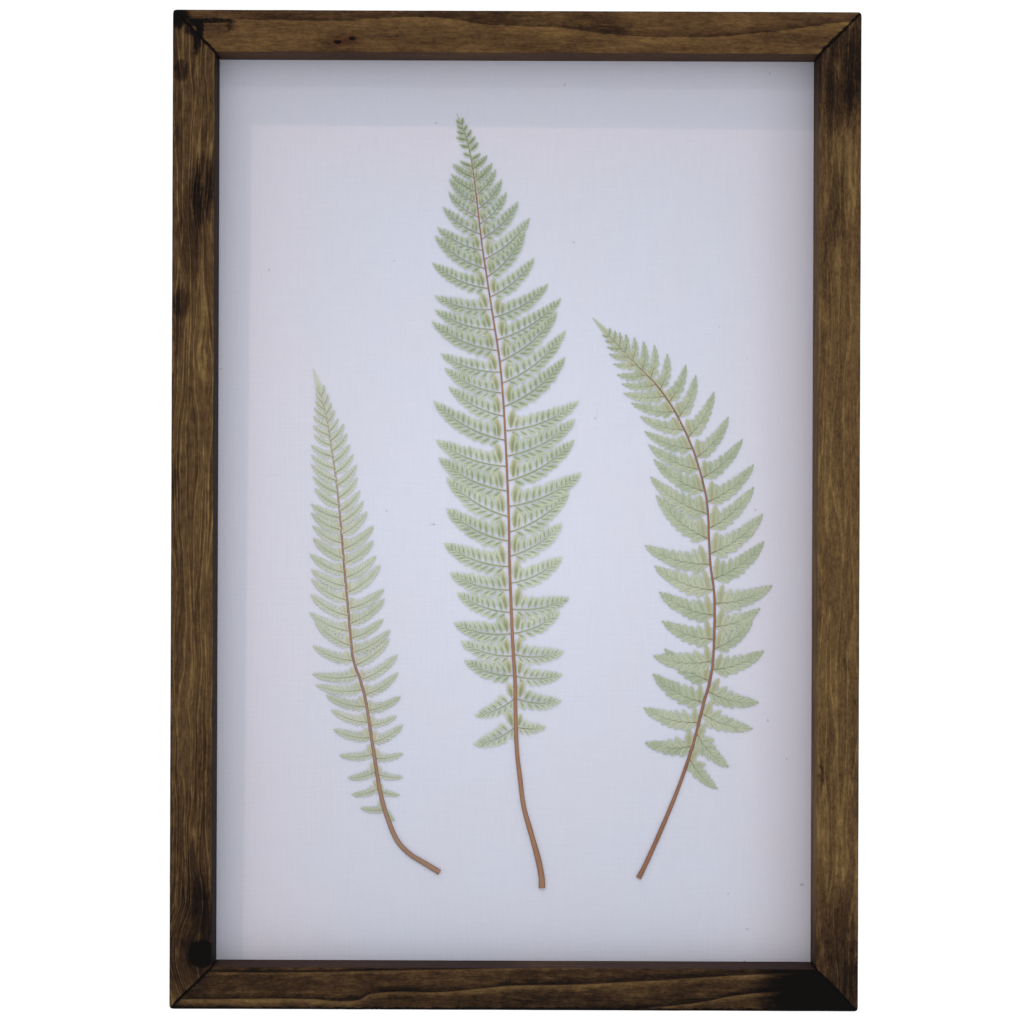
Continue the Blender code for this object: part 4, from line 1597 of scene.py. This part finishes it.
@dataclass
class Cloth:
    """The linen, pulled over the board's face and edges and glued down behind, in millimetres."""

    width: float = 304.8
    height: float = 457.2
    bottom: float = 16.6
    face_y: float = -1.7
    back_y: float = 3.9
    hem: float = 18.0
    thickness: float = 0.42
    turn: float = 0.8
    pitch: float = 5.0

    def build(self) -> bpy.types.Object:
        """Builds the cloth as one sheet with a thickness.

        Returns:
            The cloth, in the scene.
        """
        shape = Shape()
        columns = round((self.width - 2 * self.turn) / self.pitch)
        rows = round((self.height - 2 * self.turn) / self.pitch)
        half_w, half_h = self.width / 2 - self.turn, self.height / 2 - self.turn
        middle = self.bottom + self.height / 2
        x = np.linspace(-half_w, half_w, columns + 1)
        z = np.linspace(middle - half_h, middle + half_h, rows + 1)
        grid_x, grid_z = np.meshgrid(x, z)
        slack = 0.035 * np.sin(grid_x / 23.0 + 0.7) * np.sin(grid_z / 31.0) + 0.025 * np.sin(grid_x / 9 + grid_z / 14)
        rim = np.minimum(half_w - np.abs(grid_x), half_h - np.abs(grid_z - middle))
        slack = slack * np.clip(rim / 12.0, 0, 1)
        start = shape.grid(np.stack([grid_x, self.face_y + np.abs(slack), grid_z], axis=-1))
        across = columns + 1
        index = np.arange(start, start + across * (rows + 1)).reshape(rows + 1, across)
        ring = list(index[0, :]) + list(index[1:, -1]) + list(index[-1, -2::-1]) + list(index[-2:0:-1, 0])
        border = np.concatenate(shape.points)[ring]
        for outward, y in self._turns():
            grown = self._grow(border, outward, middle)
            grown[:, 1] = y
            later = shape.row(grown)
            shape.strip(later, ring)
            ring = later
        piece = shape.make("linen_cloth", [Linen().material()], 60.0)
        thicken = piece.modifiers.new("thickness", "SOLIDIFY")
        thicken.thickness = self.thickness * MM
        thicken.offset = -1.0
        settle(piece, "linen", "linen_cover")
        flat = tuple((size + 2 * (self.back_y - self.face_y + self.hem)) * MM for size in (self.width, self.height))
        return piece

    def _turns(self) -> list[tuple[float, float]]:
        """The cloth's rows round the board's edge and on its back.

        Returns:
            (outward from the flat face's border, y) of each row.
        """
        turns = []
        for angle in np.linspace(0, math.pi / 2, 4)[1:]:
            turns.append((self.turn * math.sin(angle), self.face_y + self.turn * (1 - math.cos(angle))))
        turns.append((self.turn, self.back_y - self.turn))
        for angle in np.linspace(0, math.pi / 2, 4)[1:]:
            turns.append((self.turn * math.cos(angle), self.back_y - self.turn * (1 - math.sin(angle))))
        for share in (0.3, 0.65, 1.0):
            turns.append((-share * (self.hem - self.turn), self.back_y))
        return turns

    def _grow(self, border: np.ndarray, outward: float, middle: float) -> np.ndarray:
        """Moves the border's points outward, each side straight out and the corners along their diagonals.

        Args:
            border: the border's points.
            outward: how far each side moves.
            middle: height of the cloth's middle.

        Returns:
            The moved points.
        """
        half_w, half_h = self.width / 2 - self.turn, self.height / 2 - self.turn
        scale_x = (half_w + outward) / half_w
        scale_z = (half_h + outward) / half_h
        grown = border.copy()
        grown[:, 0] = border[:, 0] * scale_x
        grown[:, 2] = middle + (border[:, 2] - middle) * scale_z
        return grown


@dataclass
class Backing:
    """What closes and hangs the frame: the solids keep their shapes and are dressed here."""

    hardware: tuple[str, ...] = ("sawtooth_hanger", "hanger_nail_left", "hanger_nail_right")

    def dress(self) -> None:
        """Gives the board, the panel and the metal their materials."""
        board = Sheet("fibreboard", srgb(168, 142, 108), srgb(186, 162, 128), srgb(120, 96, 68))
        panel = Sheet("hardboard", srgb(112, 78, 50), srgb(134, 98, 66), srgb(76, 50, 32))
        self._dress("mount_board", board.material())
        self._dress("back_panel", panel.material())
        zinc = Zinc().material()
        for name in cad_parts:
            if name.startswith("tab_") or name in self.hardware:
                self._dress(name, zinc)

    @staticmethod
    def _dress(name: str, material: bpy.types.Material) -> None:
        """Puts a material on a solid's own mesh.

        Args:
            name: the solid's node.
            material: the material.
        """
        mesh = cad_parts[name].data
        mesh.materials.clear()
        mesh.materials.append(material)
        log.info("%s: dressed with %s", name, material.name)


@dataclass
class Studio:
    """White surroundings, a pale floor, soft light and the camera, in metres.

    roll is in degrees, and nudge moves the picture by shares of its width.
    """

    target: tuple[float, float, float] = (0.0, -0.016, 0.2452)
    distance: float = 0.8
    seen_width: float = 0.502
    aside: float = 0.01
    below: float = 0.008
    roll: float = -0.22
    nudge: tuple[float, float] = (-3.4 / 1024, -1.6 / 1024)
    floor_reach: float = 3.0
    floor_back: float = 0.4
    floor_drop: float = 0.25
    white_lighting: float = 0.72
    white_seen: float = 1.05

    def build(self) -> None:
        """Sets up the studio."""
        scene = bpy.context.scene
        scene.view_settings.view_transform = "Standard"
        self._add_world(scene)
        self._add_floor()
        self._add_camera(scene)
        self._add_area("front light", (0.0, -0.242, 0.254), 0.09, 0.13, srgb(255, 255, 255))
        self._add_sun("upper left lamp", (-15.0, -14.0, 32.0), 0.26, srgb(255, 240, 236))
        self._add_sun("upper lamp", (0.0, -14.0, 13.6), 0.18, srgb(255, 246, 240))

    def _add_world(self, scene: bpy.types.Scene) -> None:
        """A soft white all round, seen at full white and lighting a little less.

        Args:
            scene: the scene.
        """
        world = bpy.data.worlds.new("white surroundings")
        world.use_nodes = True
        scene.world = world
        nodes, links = world.node_tree.nodes, world.node_tree.links
        background = nodes["Background"]
        background.inputs["Color"].default_value = (1.0, 1.0, 1.0, 1.0)
        path = nodes.new("ShaderNodeLightPath")
        strength = nodes.new("ShaderNodeMapRange")
        strength.inputs["To Min"].default_value = self.white_lighting
        strength.inputs["To Max"].default_value = self.white_seen
        links.new(path.outputs["Is Camera Ray"], strength.inputs["Value"])
        links.new(strength.outputs["Result"], background.inputs["Strength"])

    def _add_floor(self) -> None:
        """A plain pale floor under the hanging frame."""
        graph = Graph("pale_floor")
        material = graph.finish(srgb(238, 238, 238), 0.8)
        mesh = bpy.data.meshes.new("floor")
        side, back, low = self.floor_reach, self.floor_back, -self.floor_drop
        corners = [(-side, -side, low), (side, -side, low), (side, back, low), (-side, back, low)]
        mesh.from_pydata(corners, [], [(0, 1, 2, 3)])
        mesh.materials.append(material)
        floor = bpy.data.objects.new("floor", mesh)
        bpy.context.scene.collection.objects.link(floor)

    def _add_camera(self, scene: bpy.types.Scene) -> None:
        """A level camera in front, a little left of the frame's middle and below it.

        Args:
            scene: the scene.
        """
        data = bpy.data.cameras.new("camera")
        data.sensor_width = 36.0
        data.lens = data.sensor_width * self.distance / self.seen_width
        data.shift_x = self.aside / self.seen_width + self.nudge[0]
        data.shift_y = self.below / self.seen_width + self.nudge[1]
        camera = bpy.data.objects.new("camera", data)
        x, y, z = self.target
        camera.location = (x - self.aside, y - self.distance, z - self.below)
        camera.rotation_euler = (math.pi / 2, math.radians(self.roll), 0.0)
        scene.collection.objects.link(camera)
        scene.camera = camera

    def _add_area(
        self, name: str, place: tuple[float, float, float], size: float, power: float, colour: Colour
    ) -> None:
        """A square soft light aimed at the middle of the frame.

        Args:
            name: its name.
            place: where it hangs.
            size: its side.
            power: its power in watts.
            colour: its colour.
        """
        data = bpy.data.lights.new(name, "AREA")
        data.shape = "SQUARE"
        data.size = size
        data.energy = power
        self._add_light(data, colour, Vector(self.target) - Vector(place)).location = place

    def _add_sun(self, name: str, towards: tuple[float, float, float], power: float, colour: Colour) -> None:
        """A small far lamp in a direction from the frame.

        Args:
            name: its name.
            towards: where it stands, seen from the frame.
            power: its strength.
            colour: its colour.
        """
        data = bpy.data.lights.new(name, "SUN")
        data.energy = power
        data.angle = math.radians(2.0)
        self._add_light(data, colour, -Vector(towards))

    @staticmethod
    def _add_light(data: bpy.types.Light, colour: Colour, aim: Vector) -> bpy.types.Object:
        """Puts a light in the scene.

        Args:
            data: the light.
            colour: its colour.
            aim: the way that it shines.

        Returns:
            Its object.
        """
        data.color = colour[:3]
        light = bpy.data.objects.new(data.name, data)
        light.rotation_mode = "QUATERNION"
        light.rotation_quaternion = aim.to_track_quat("-Z", "Y")
        bpy.context.scene.collection.objects.link(light)
        return light


def pine_finishes() -> list[StainedPine]:
    """The four rails' wood, with the growth rings, knots and patches that each one shows.

    Returns:
        One finish for each rail.
    """
    return [
        StainedPine(
            Side.TOP,
            tone=0.58,
            lines=0.05,
            line_gap=3.2,
            speckle=0.16,
            mottle=0.26,
            cloud=0.22,
            cast=(1.04, 0.97, 0.92, 1.0),
            fibre_slant=1.6,
            halo=0.3,
            rings=(
                Ring(
                    (
                        (-170.0, 5.6), (-140.0, 4.9), (-90.0, 5.3), (-70.0, 4.2), (-46.0, 3.4), (-30.0, 4.6),
                        (-16.0, 6.8), (0.0, 7.6), (18.0, 8.2), (42.0, 11.0), (66.0, 12.7), (95.0, 12.6),
                        (112.0, 11.2), (134.0, 8.8), (152.0, 6.0), (170.0, 4.0),
                    ),
                    dark=0.17,
                    gold=0.08,
                    dark_reach=5.0,
                    gold_reach=6.0,
                ),
            ),
            knots=(Spot(-88.0, 15.8, 3.4, 2.0, 0.62), Spot(-81.0, 14.0, 3.0, 2.0, 0.5)),
            patches=(
                Spot(-149.0, 5.6, 18.0, 1.7, 1.2), Spot(-141.0, 8.0, 2.0, 5.0, 0.6), Spot(-155.6, 9.4, 3.4, 6.4, 1.5),
                Spot(-158.4, 6.4, 7.0, 3.0, 1.4), Spot(-166.5, 2.6, 9.0, 6.0, 1.6), Spot(-110.0, 1.0, 60.0, 3.0, 0.3),
                Spot(-20.0, 2.0, 50.0, 4.0, 0.25), Spot(-148.0, 9.0, 16.0, 6.0, 0.35),
                Spot(-86.0, 17.0, 22.0, 9.0, 0.22), Spot(38.0, 8.0, 26.0, 16.0, 0.26),
            ),
            seed=1.0,
        ),
        StainedPine(
            Side.BOTTOM,
            tone=0.37,
            lines=0.06,
            line_gap=3.6,
            speckle=0.16,
            mottle=0.3,
            cloud=0.24,
            rings=(
                Ring(
                    (
                        (-170.0, 18.6), (-140.0, 18.4), (-100.0, 18.6), (-60.0, 19.6), (-20.0, 20.4), (40.0, 22.0),
                        (170.0, 24.0),
                    ),
                    dark=0.22,
                    gold=0.16,
                    dark_reach=1.6,
                    gold_reach=2.0,
                    gold_outward=True,
                ),
                Ring(
                    (
                        (-170.0, 5.0), (-140.0, 5.2), (-100.0, 5.4), (-84.0, 4.4), (-77.0, 4.8), (-70.0, 8.0),
                        (-56.0, 9.2), (-40.0, 9.0), (-16.0, 10.8), (0.0, 12.4), (30.0, 13.0), (60.0, 14.6),
                        (90.0, 16.6), (124.0, 18.6), (140.0, 19.6), (170.0, 21.0),
                    ),
                    dark=0.2,
                    gold=0.24,
                    dark_reach=3.6,
                    gold_reach=4.0,
                    gold_outward=True,
                ),
                Ring(
                    (
                        (-170.0, 0.2), (40.0, 0.2), (64.0, 1.6), (86.0, 3.8), (114.0, 8.6), (130.0, 10.2),
                        (150.0, 13.0), (170.0, 15.0),
                    ),
                    dark=0.24,
                    gold=0.2,
                    dark_reach=3.0,
                    gold_reach=3.4,
                    gold_outward=True,
                ),
            ),
            patches=(
                Spot(162.0, 8.0, 60.0, 90.0, 1.6), Spot(-158.0, 12.0, 16.0, 9.0, 0.3),
                # Painted shade: a dark line along the lower edge, which faces down, away from the light.
                Spot(20.0, 0.0, 400.0, 2.2, 1.0),
            ),
            seed=21.0,
        ),
        StainedPine(
            Side.LEFT,
            tone=0.44,
            lines=0.3,
            line_gap=3.0,
            speckle=0.1,
            thread=0.17,
            mottle=0.24,
            # Painted shade, darkest here: the left rail's side that faces the linen is out of the lamps' light.
            painted_wall_shade=srgb(34, 25, 24),
            painted_wall_shade_share=0.9,
            halo=0.0,
            knots=(Spot(-218.0, 16.2, 11.6, 11.6, 1.0),),
            patches=(
                Spot(215.0, 4.4, 8.0, 6.0, 0.8), Spot(157.0, 15.0, 26.0, 9.0, 0.8), Spot(138.0, 9.0, 40.0, 10.0, 0.35),
                Spot(101.0, 5.0, 12.0, 8.0, 0.6), Spot(88.0, 3.0, 24.0, 4.0, 0.3), Spot(14.0, 1.6, 14.0, 2.4, 0.5),
                Spot(-193.0, 15.0, 22.0, 8.0, 0.5), Spot(-206.0, 10.0, 56.0, 20.0, 0.25),
                Spot(-216.0, 10.5, 16.0, 4.0, 0.35), Spot(230.0, 12.2, 12.0, 2.6, 1.4),
                Spot(236.0, 9.0, 6.0, 5.0, 1.1), Spot(241.0, 3.0, 8.0, 8.0, 1.6), Spot(-232.0, 16.0, 14.0, 6.0, 0.3),
                Spot(-20.0, 10.0, 170.0, 50.0, -0.3), Spot(206.0, 14.0, 60.0, 20.0, -0.1),
                Spot(130.0, 10.0, 130.0, 50.0, -0.18),
            ),
            seed=33.0,
        ),
        StainedPine(
            Side.RIGHT,
            tone=0.57,
            lines=0.2,
            line_gap=5.4,
            speckle=0.2,
            mottle=0.24,
            thread=0.14,
            # Painted shade, weakest here: the right rail's side that faces the linen is lit.
            painted_wall_shade_share=0.25,
            patches=(
                Spot(226.0, 8.0, 64.0, 44.0, 0.62), Spot(214.0, 4.0, 34.0, 8.0, 0.4),
                Spot(-40.0, 10.0, 330.0, 60.0, -0.17), Spot(148.0, 12.0, 36.0, 8.0, 0.3),
                Spot(112.0, 17.0, 60.0, 4.0, 0.3), Spot(-108.0, 3.0, 40.0, 3.0, 0.3),
                Spot(-130.0, 18.5, 14.0, 1.4, 0.8),
                Spot(-240.0, 8.0, 82.0, 56.0, 0.7), Spot(-236.0, 3.0, 34.0, 8.0, 0.3),
            ),
            seed=54.0,
        ),
    ]


def fern_fronds() -> list[Frond]:
    """The three fronds. Each stalk, and each foot and tip of a side leaf, is where its solid has it.

    Returns:
        The left, the middle and the right frond.
    """
    left = Frond(
        name="frond_left",
        stalk=Stalk([
            (-101.0, 316.0, 0.3), (-98.0, 306.0, 0.5), (-94.0, 290.0, 0.8), (-92.3, 280.0, 0.9),
            (-89.3, 260.0, 1.1), (-87.1, 240.0, 1.2), (-85.4, 220.0, 1.3), (-83.5, 200.0, 1.4),
            (-81.6, 180.0, 1.5), (-80.3, 170.0, 1.5), (-76.7, 160.0, 1.6), (-74.1, 150.0, 1.6),
            (-70.9, 130.0, 1.8), (-67.7, 110.0, 2.0), (-65.6, 100.0, 2.2), (-62.4, 90.0, 2.3),
            (-57.8, 80.0, 2.4), (-51.5, 73.5, 2.5), (-45.6, 70.0, 2.6), (-36.9, 64.8, 2.6),
        ]),
        left=[
            (302.5, -99.0, 306.5), (299.0, -99.4, 303.0), (295.5, -99.8, 299.5), (291.3, -100.2, 296.0),
            (287.0, -100.7, 292.0), (282.5, -100.7, 287.3), (277.5, -100.4, 282.8), (272.0, -101.8, 277.4),
            (266.0, -101.7, 272.6), (260.0, -101.7, 267.9), (254.0, -100.7, 261.9), (247.6, -99.8, 255.9),
            (241.5, -101.8, 248.2), (235.3, -101.6, 243.9), (228.7, -100.9, 237.4), (221.2, -100.7, 231.4),
            (214.0, -102.2, 223.3), (207.3, -101.4, 215.5), (200.2, -101.4, 210.8), (192.5, -101.7, 203.1),
            (184.8, -102.4, 194.2), (177.5, -99.3, 189.5), (170.2, -100.6, 177.5), (163.0, -100.8, 163.5),
            (155.8, -99.2, 158.0), (147.2, -93.9, 153.0), (139.4, -91.3, 145.7), (131.8, -90.2, 136.0),
            (123.8, -87.3, 123.0), (115.2, -83.0, 111.7), (106.7, -81.2, 103.3), (96.2, -76.6, 96.8),
        ],
        right=[
            (302.0, -95.6, 307.5), (297.5, -93.6, 303.0), (293.0, -92.0, 298.7), (289.0, -90.4, 295.0),
            (284.5, -88.4, 290.9), (279.8, -85.6, 288.0), (274.8, -84.0, 283.5), (269.3, -82.7, 277.8),
            (263.8, -80.9, 273.0), (257.5, -79.2, 267.7), (251.3, -78.8, 261.5), (244.8, -77.5, 254.8),
            (239.2, -75.6, 249.8), (233.3, -73.9, 244.4), (225.7, -70.6, 237.4), (218.6, -70.6, 230.2),
            (211.5, -69.2, 222.7), (204.0, -67.2, 218.0), (196.1, -65.2, 206.0), (188.6, -65.0, 201.2),
            (181.3, -65.6, 191.0), (174.3, -62.0, 185.5), (167.8, -62.5, 181.2), (160.7, -58.4, 173.3),
            (153.0, -58.2, 164.3), (145.3, -56.8, 152.5), (138.0, -58.8, 142.7), (129.5, -55.7, 138.3),
            (121.6, -55.4, 124.0), (113.8, -55.6, 112.3), (105.5, -57.0, 103.3), (96.5, -59.2, 90.5),
        ],
        growth=Growth(
            Habit.TOOTHED, breadth=6.6, start=0.9, slope=0.27, pitch=1.8, most_pairs=10, ear=0.6, upper_lean=24.0,
            lower_lean=42.0, fill=0.7, split=0.6, joined=0.5, joined_from=0.2, free_lengths=(5.0, 12.0),
            free_heights=(250.0, 150.0),
            wing=((316.2, 0.06), (311.0, 0.9), (305.0, 1.9), (298.0, 2.2), (285.0, 1.4), (268.0, 0.5)),
        ),
        leaf=FernLeaf(
            "pressed_leaf_left", srgb(182, 191, 171), srgb(206, 211, 201), srgb(208, 214, 201), srgb(186, 180, 144),
            srgb(150, 160, 139), veins=0.4, core=0.2, fade=-0.15,
        ),
        bark=FernStalk("stalk_left", srgb(144, 110, 94), srgb(108, 84, 72), srgb(172, 142, 114), srgb(178, 172, 148)),
        seed=5,
        green_from=225.0,
    )
    middle = Frond(
        name="frond_middle",
        stalk=Stalk([
            (-29.8, 443.3, 0.3), (-27.3, 437.0, 0.4), (-24.6, 430.0, 0.6), (-22.5, 420.0, 0.7),
            (-20.9, 410.0, 0.8), (-19.7, 400.0, 0.8), (-17.3, 380.0, 0.9), (-14.3, 360.0, 1.0),
            (-11.1, 340.0, 1.1), (-8.0, 320.0, 1.2), (-6.1, 300.0, 1.2), (-4.9, 280.0, 1.3),
            (-3.9, 260.0, 1.4), (-3.1, 240.0, 1.5), (-2.7, 220.0, 1.7), (-1.9, 200.0, 1.8),
            (-1.0, 180.0, 1.9), (0.3, 160.0, 2.0), (0.7, 140.0, 2.1), (1.4, 125.0, 2.2),
            (3.0, 111.6, 2.3), (4.8, 98.0, 2.4), (8.4, 85.0, 2.6), (11.9, 72.5, 2.8),
            (13.9, 62.7, 3.0), (14.1, 57.2, 3.0),
        ]),
        left=[
            (438.2, -30.0, 440.0), (435.6, -29.6, 437.0), (433.2, -29.7, 434.3), (430.2, -29.9, 431.4),
            (426.5, -28.1, 427.7), (422.0, -26.5, 423.7), (417.0, -28.1, 419.6), (411.3, -31.5, 418.0),
            (404.5, -32.4, 413.0), (398.5, -33.1, 410.5), (391.5, -33.6, 404.0), (383.0, -36.3, 396.5),
            (375.0, -39.1, 386.3), (365.8, -40.3, 382.0), (356.0, -41.5, 368.5), (345.5, -40.4, 352.2),
            (335.5, -40.3, 345.2), (325.0, -41.8, 339.3), (314.3, -37.3, 323.3), (303.8, -35.2, 316.0),
            (292.3, -33.2, 307.0), (280.3, -40.7, 299.5), (267.3, -39.4, 280.4), (255.0, -38.1, 271.4),
            (242.2, -34.0, 261.5), (230.0, -33.9, 246.0), (217.3, -35.1, 228.7), (205.8, -32.0, 214.0),
            (194.5, -28.5, 204.2), (184.0, -30.1, 189.1), (172.8, -26.7, 180.0), (163.0, -24.7, 170.5),
            (152.0, -19.6, 143.0), (137.8, -20.0, 128.6),
        ],
        right=[
            (437.5, -27.0, 441.2), (434.8, -24.8, 437.6), (431.5, -22.7, 435.2), (428.0, -20.7, 431.9),
            (424.8, -19.2, 428.9), (420.5, -18.0, 423.4), (415.8, -14.8, 422.5), (409.5, -12.2, 418.5),
            (402.5, -10.4, 415.5), (395.5, -7.4, 410.4), (388.0, -5.0, 404.0), (380.5, 0.8, 399.2),
            (370.5, 6.6, 391.2), (361.5, 4.3, 385.0), (351.7, 8.9, 371.2), (341.5, 15.9, 358.2),
            (330.3, 22.4, 351.2), (319.5, 20.4, 344.2), (308.7, 24.8, 335.0), (297.0, 24.5, 321.7),
            (285.0, 31.4, 300.0), (272.3, 29.6, 290.8), (260.0, 29.3, 280.6), (247.3, 32.7, 264.2),
            (234.5, 26.6, 254.6), (222.5, 23.1, 239.0), (209.0, 23.4, 222.2), (196.2, 26.8, 202.0),
            (184.0, 22.3, 195.0), (173.7, 24.4, 175.2), (163.0, 23.7, 163.8), (151.8, 23.3, 150.6),
            (137.5, 15.6, 137.5),
        ],
        growth=Growth(
            Habit.LEAFLETS, breadth=10.4, start=1.5, slope=0.25, pitch=3.2, most_pairs=12, ear=0.78, upper_lean=14.0,
            lower_lean=40.0, fill=0.94, split=0.9, joined=0.0, joined_from=0.8, free_lengths=(6.0, 19.0),
            free_heights=(900.0, 600.0), crowd=0.38, lush=0.3,
            wing=((443.4, 0.06), (438.0, 0.5), (430.0, 0.7), (420.0, 0.4)),
        ),
        leaf=FernLeaf(
            "pressed_leaf_middle", srgb(170, 183, 158), srgb(202, 211, 193), srgb(214, 219, 203), srgb(172, 164, 116),
            srgb(110, 128, 102), veins=0.3, core=0.58, fade=0.5,
        ),
        bark=FernStalk("stalk_middle", srgb(142, 100, 80), srgb(104, 74, 60), srgb(176, 138, 104), srgb(146, 154, 126)),
        seed=8,
        green_from=400.0,
    )
    right = Frond(
        name="frond_right",
        stalk=Stalk([
            (38.3, 341.6, 0.3), (44.0, 335.5, 0.5), (50.0, 329.0, 0.6), (60.0, 318.5, 0.8),
            (70.0, 308.5, 0.9), (78.0, 297.5, 1.0), (84.2, 286.0, 1.1), (89.0, 275.0, 1.1),
            (93.3, 261.0, 1.2), (95.9, 248.0, 1.2), (96.8, 230.0, 1.3), (97.6, 218.0, 1.3),
            (99.4, 205.0, 1.4), (99.7, 190.0, 1.5), (98.9, 170.0, 1.5), (97.3, 160.0, 1.6),
            (94.5, 150.0, 1.6), (89.5, 130.0, 1.7), (82.9, 110.0, 1.9), (74.9, 90.0, 2.1),
            (66.1, 70.0, 2.3), (62.2, 62.3, 2.4),
        ]),
        left=[
            (332.5, 43.4, 332.8), (329.8, 44.6, 330.0), (326.3, 45.6, 327.0), (322.3, 46.7, 323.5),
            (318.3, 48.9, 318.6), (313.4, 50.7, 313.2), (308.4, 53.2, 308.6), (302.8, 54.0, 304.0),
            (295.0, 57.9, 299.2), (286.0, 62.4, 292.5), (276.5, 64.6, 285.0), (266.3, 66.6, 278.2),
            (255.3, 69.2, 271.0), (244.0, 67.6, 262.2), (231.5, 70.5, 253.0), (219.0, 65.0, 228.0),
            (206.0, 69.8, 217.8), (193.5, 72.2, 204.8), (181.5, 73.6, 190.4), (170.8, 69.4, 173.2),
            (160.8, 75.0, 176.6), (150.0, 69.2, 164.0), (140.0, 64.7, 147.0), (128.3, 65.4, 129.8),
        ],
        right=[
            (333.0, 46.9, 336.4), (330.3, 49.4, 335.2), (327.4, 51.8, 334.2), (324.4, 54.9, 333.3),
            (320.4, 59.1, 331.7), (315.6, 63.6, 329.6), (311.5, 69.1, 327.8), (306.0, 75.6, 323.6),
            (299.8, 84.8, 318.2), (292.0, 89.8, 312.9), (282.3, 98.8, 304.7), (272.0, 106.1, 292.2),
            (262.0, 113.1, 281.2), (250.0, 118.8, 268.5), (236.8, 118.8, 257.3), (224.2, 123.4, 243.9),
            (211.5, 124.1, 230.2), (199.5, 128.1, 208.2), (187.7, 122.2, 197.0), (176.7, 118.4, 191.5),
            (166.5, 124.1, 175.7), (155.8, 121.6, 150.1), (144.8, 118.8, 137.0), (135.0, 106.8, 118.0),
            (122.5, 101.4, 107.0),
        ],
        growth=Growth(
            Habit.LOBED, breadth=11.4, start=0.9, slope=0.31, pitch=3.7, most_pairs=9, ear=0.7, upper_lean=24.0,
            lower_lean=42.0, fill=1.05, split=0.42, joined=0.7, joined_from=0.3, free_lengths=(7.0, 20.0),
            free_heights=(900.0, 600.0), point=0.4, lush=0.3, lush_heights=(275.0, 175.0),
            wing=((341.8, 0.06), (337.0, 1.1), (330.0, 2.0), (318.0, 2.4), (304.0, 1.2), (292.0, 0.6)),
        ),
        leaf=FernLeaf(
            "pressed_leaf_right", srgb(164, 176, 152), srgb(190, 199, 179), srgb(200, 205, 184), srgb(173, 170, 132),
            srgb(128, 142, 116), veins=0.5, core=0.22,
        ),
        bark=FernStalk("stalk_right", srgb(130, 90, 73), srgb(94, 66, 56), srgb(168, 126, 94), srgb(150, 156, 128)),
        seed=13,
        green_from=302.0,
    )
    return [left, middle, right]


def main() -> None:
    """Builds the whole scene, sub-assembly by sub-assembly."""
    Studio().build()
    Surround(width=338.0, height=490.4).build(pine_finishes())
    Cloth().build()
    Backing().dress()
    for frond in fern_fronds():
        frond.build()


if __name__ == "__main__":
    main()
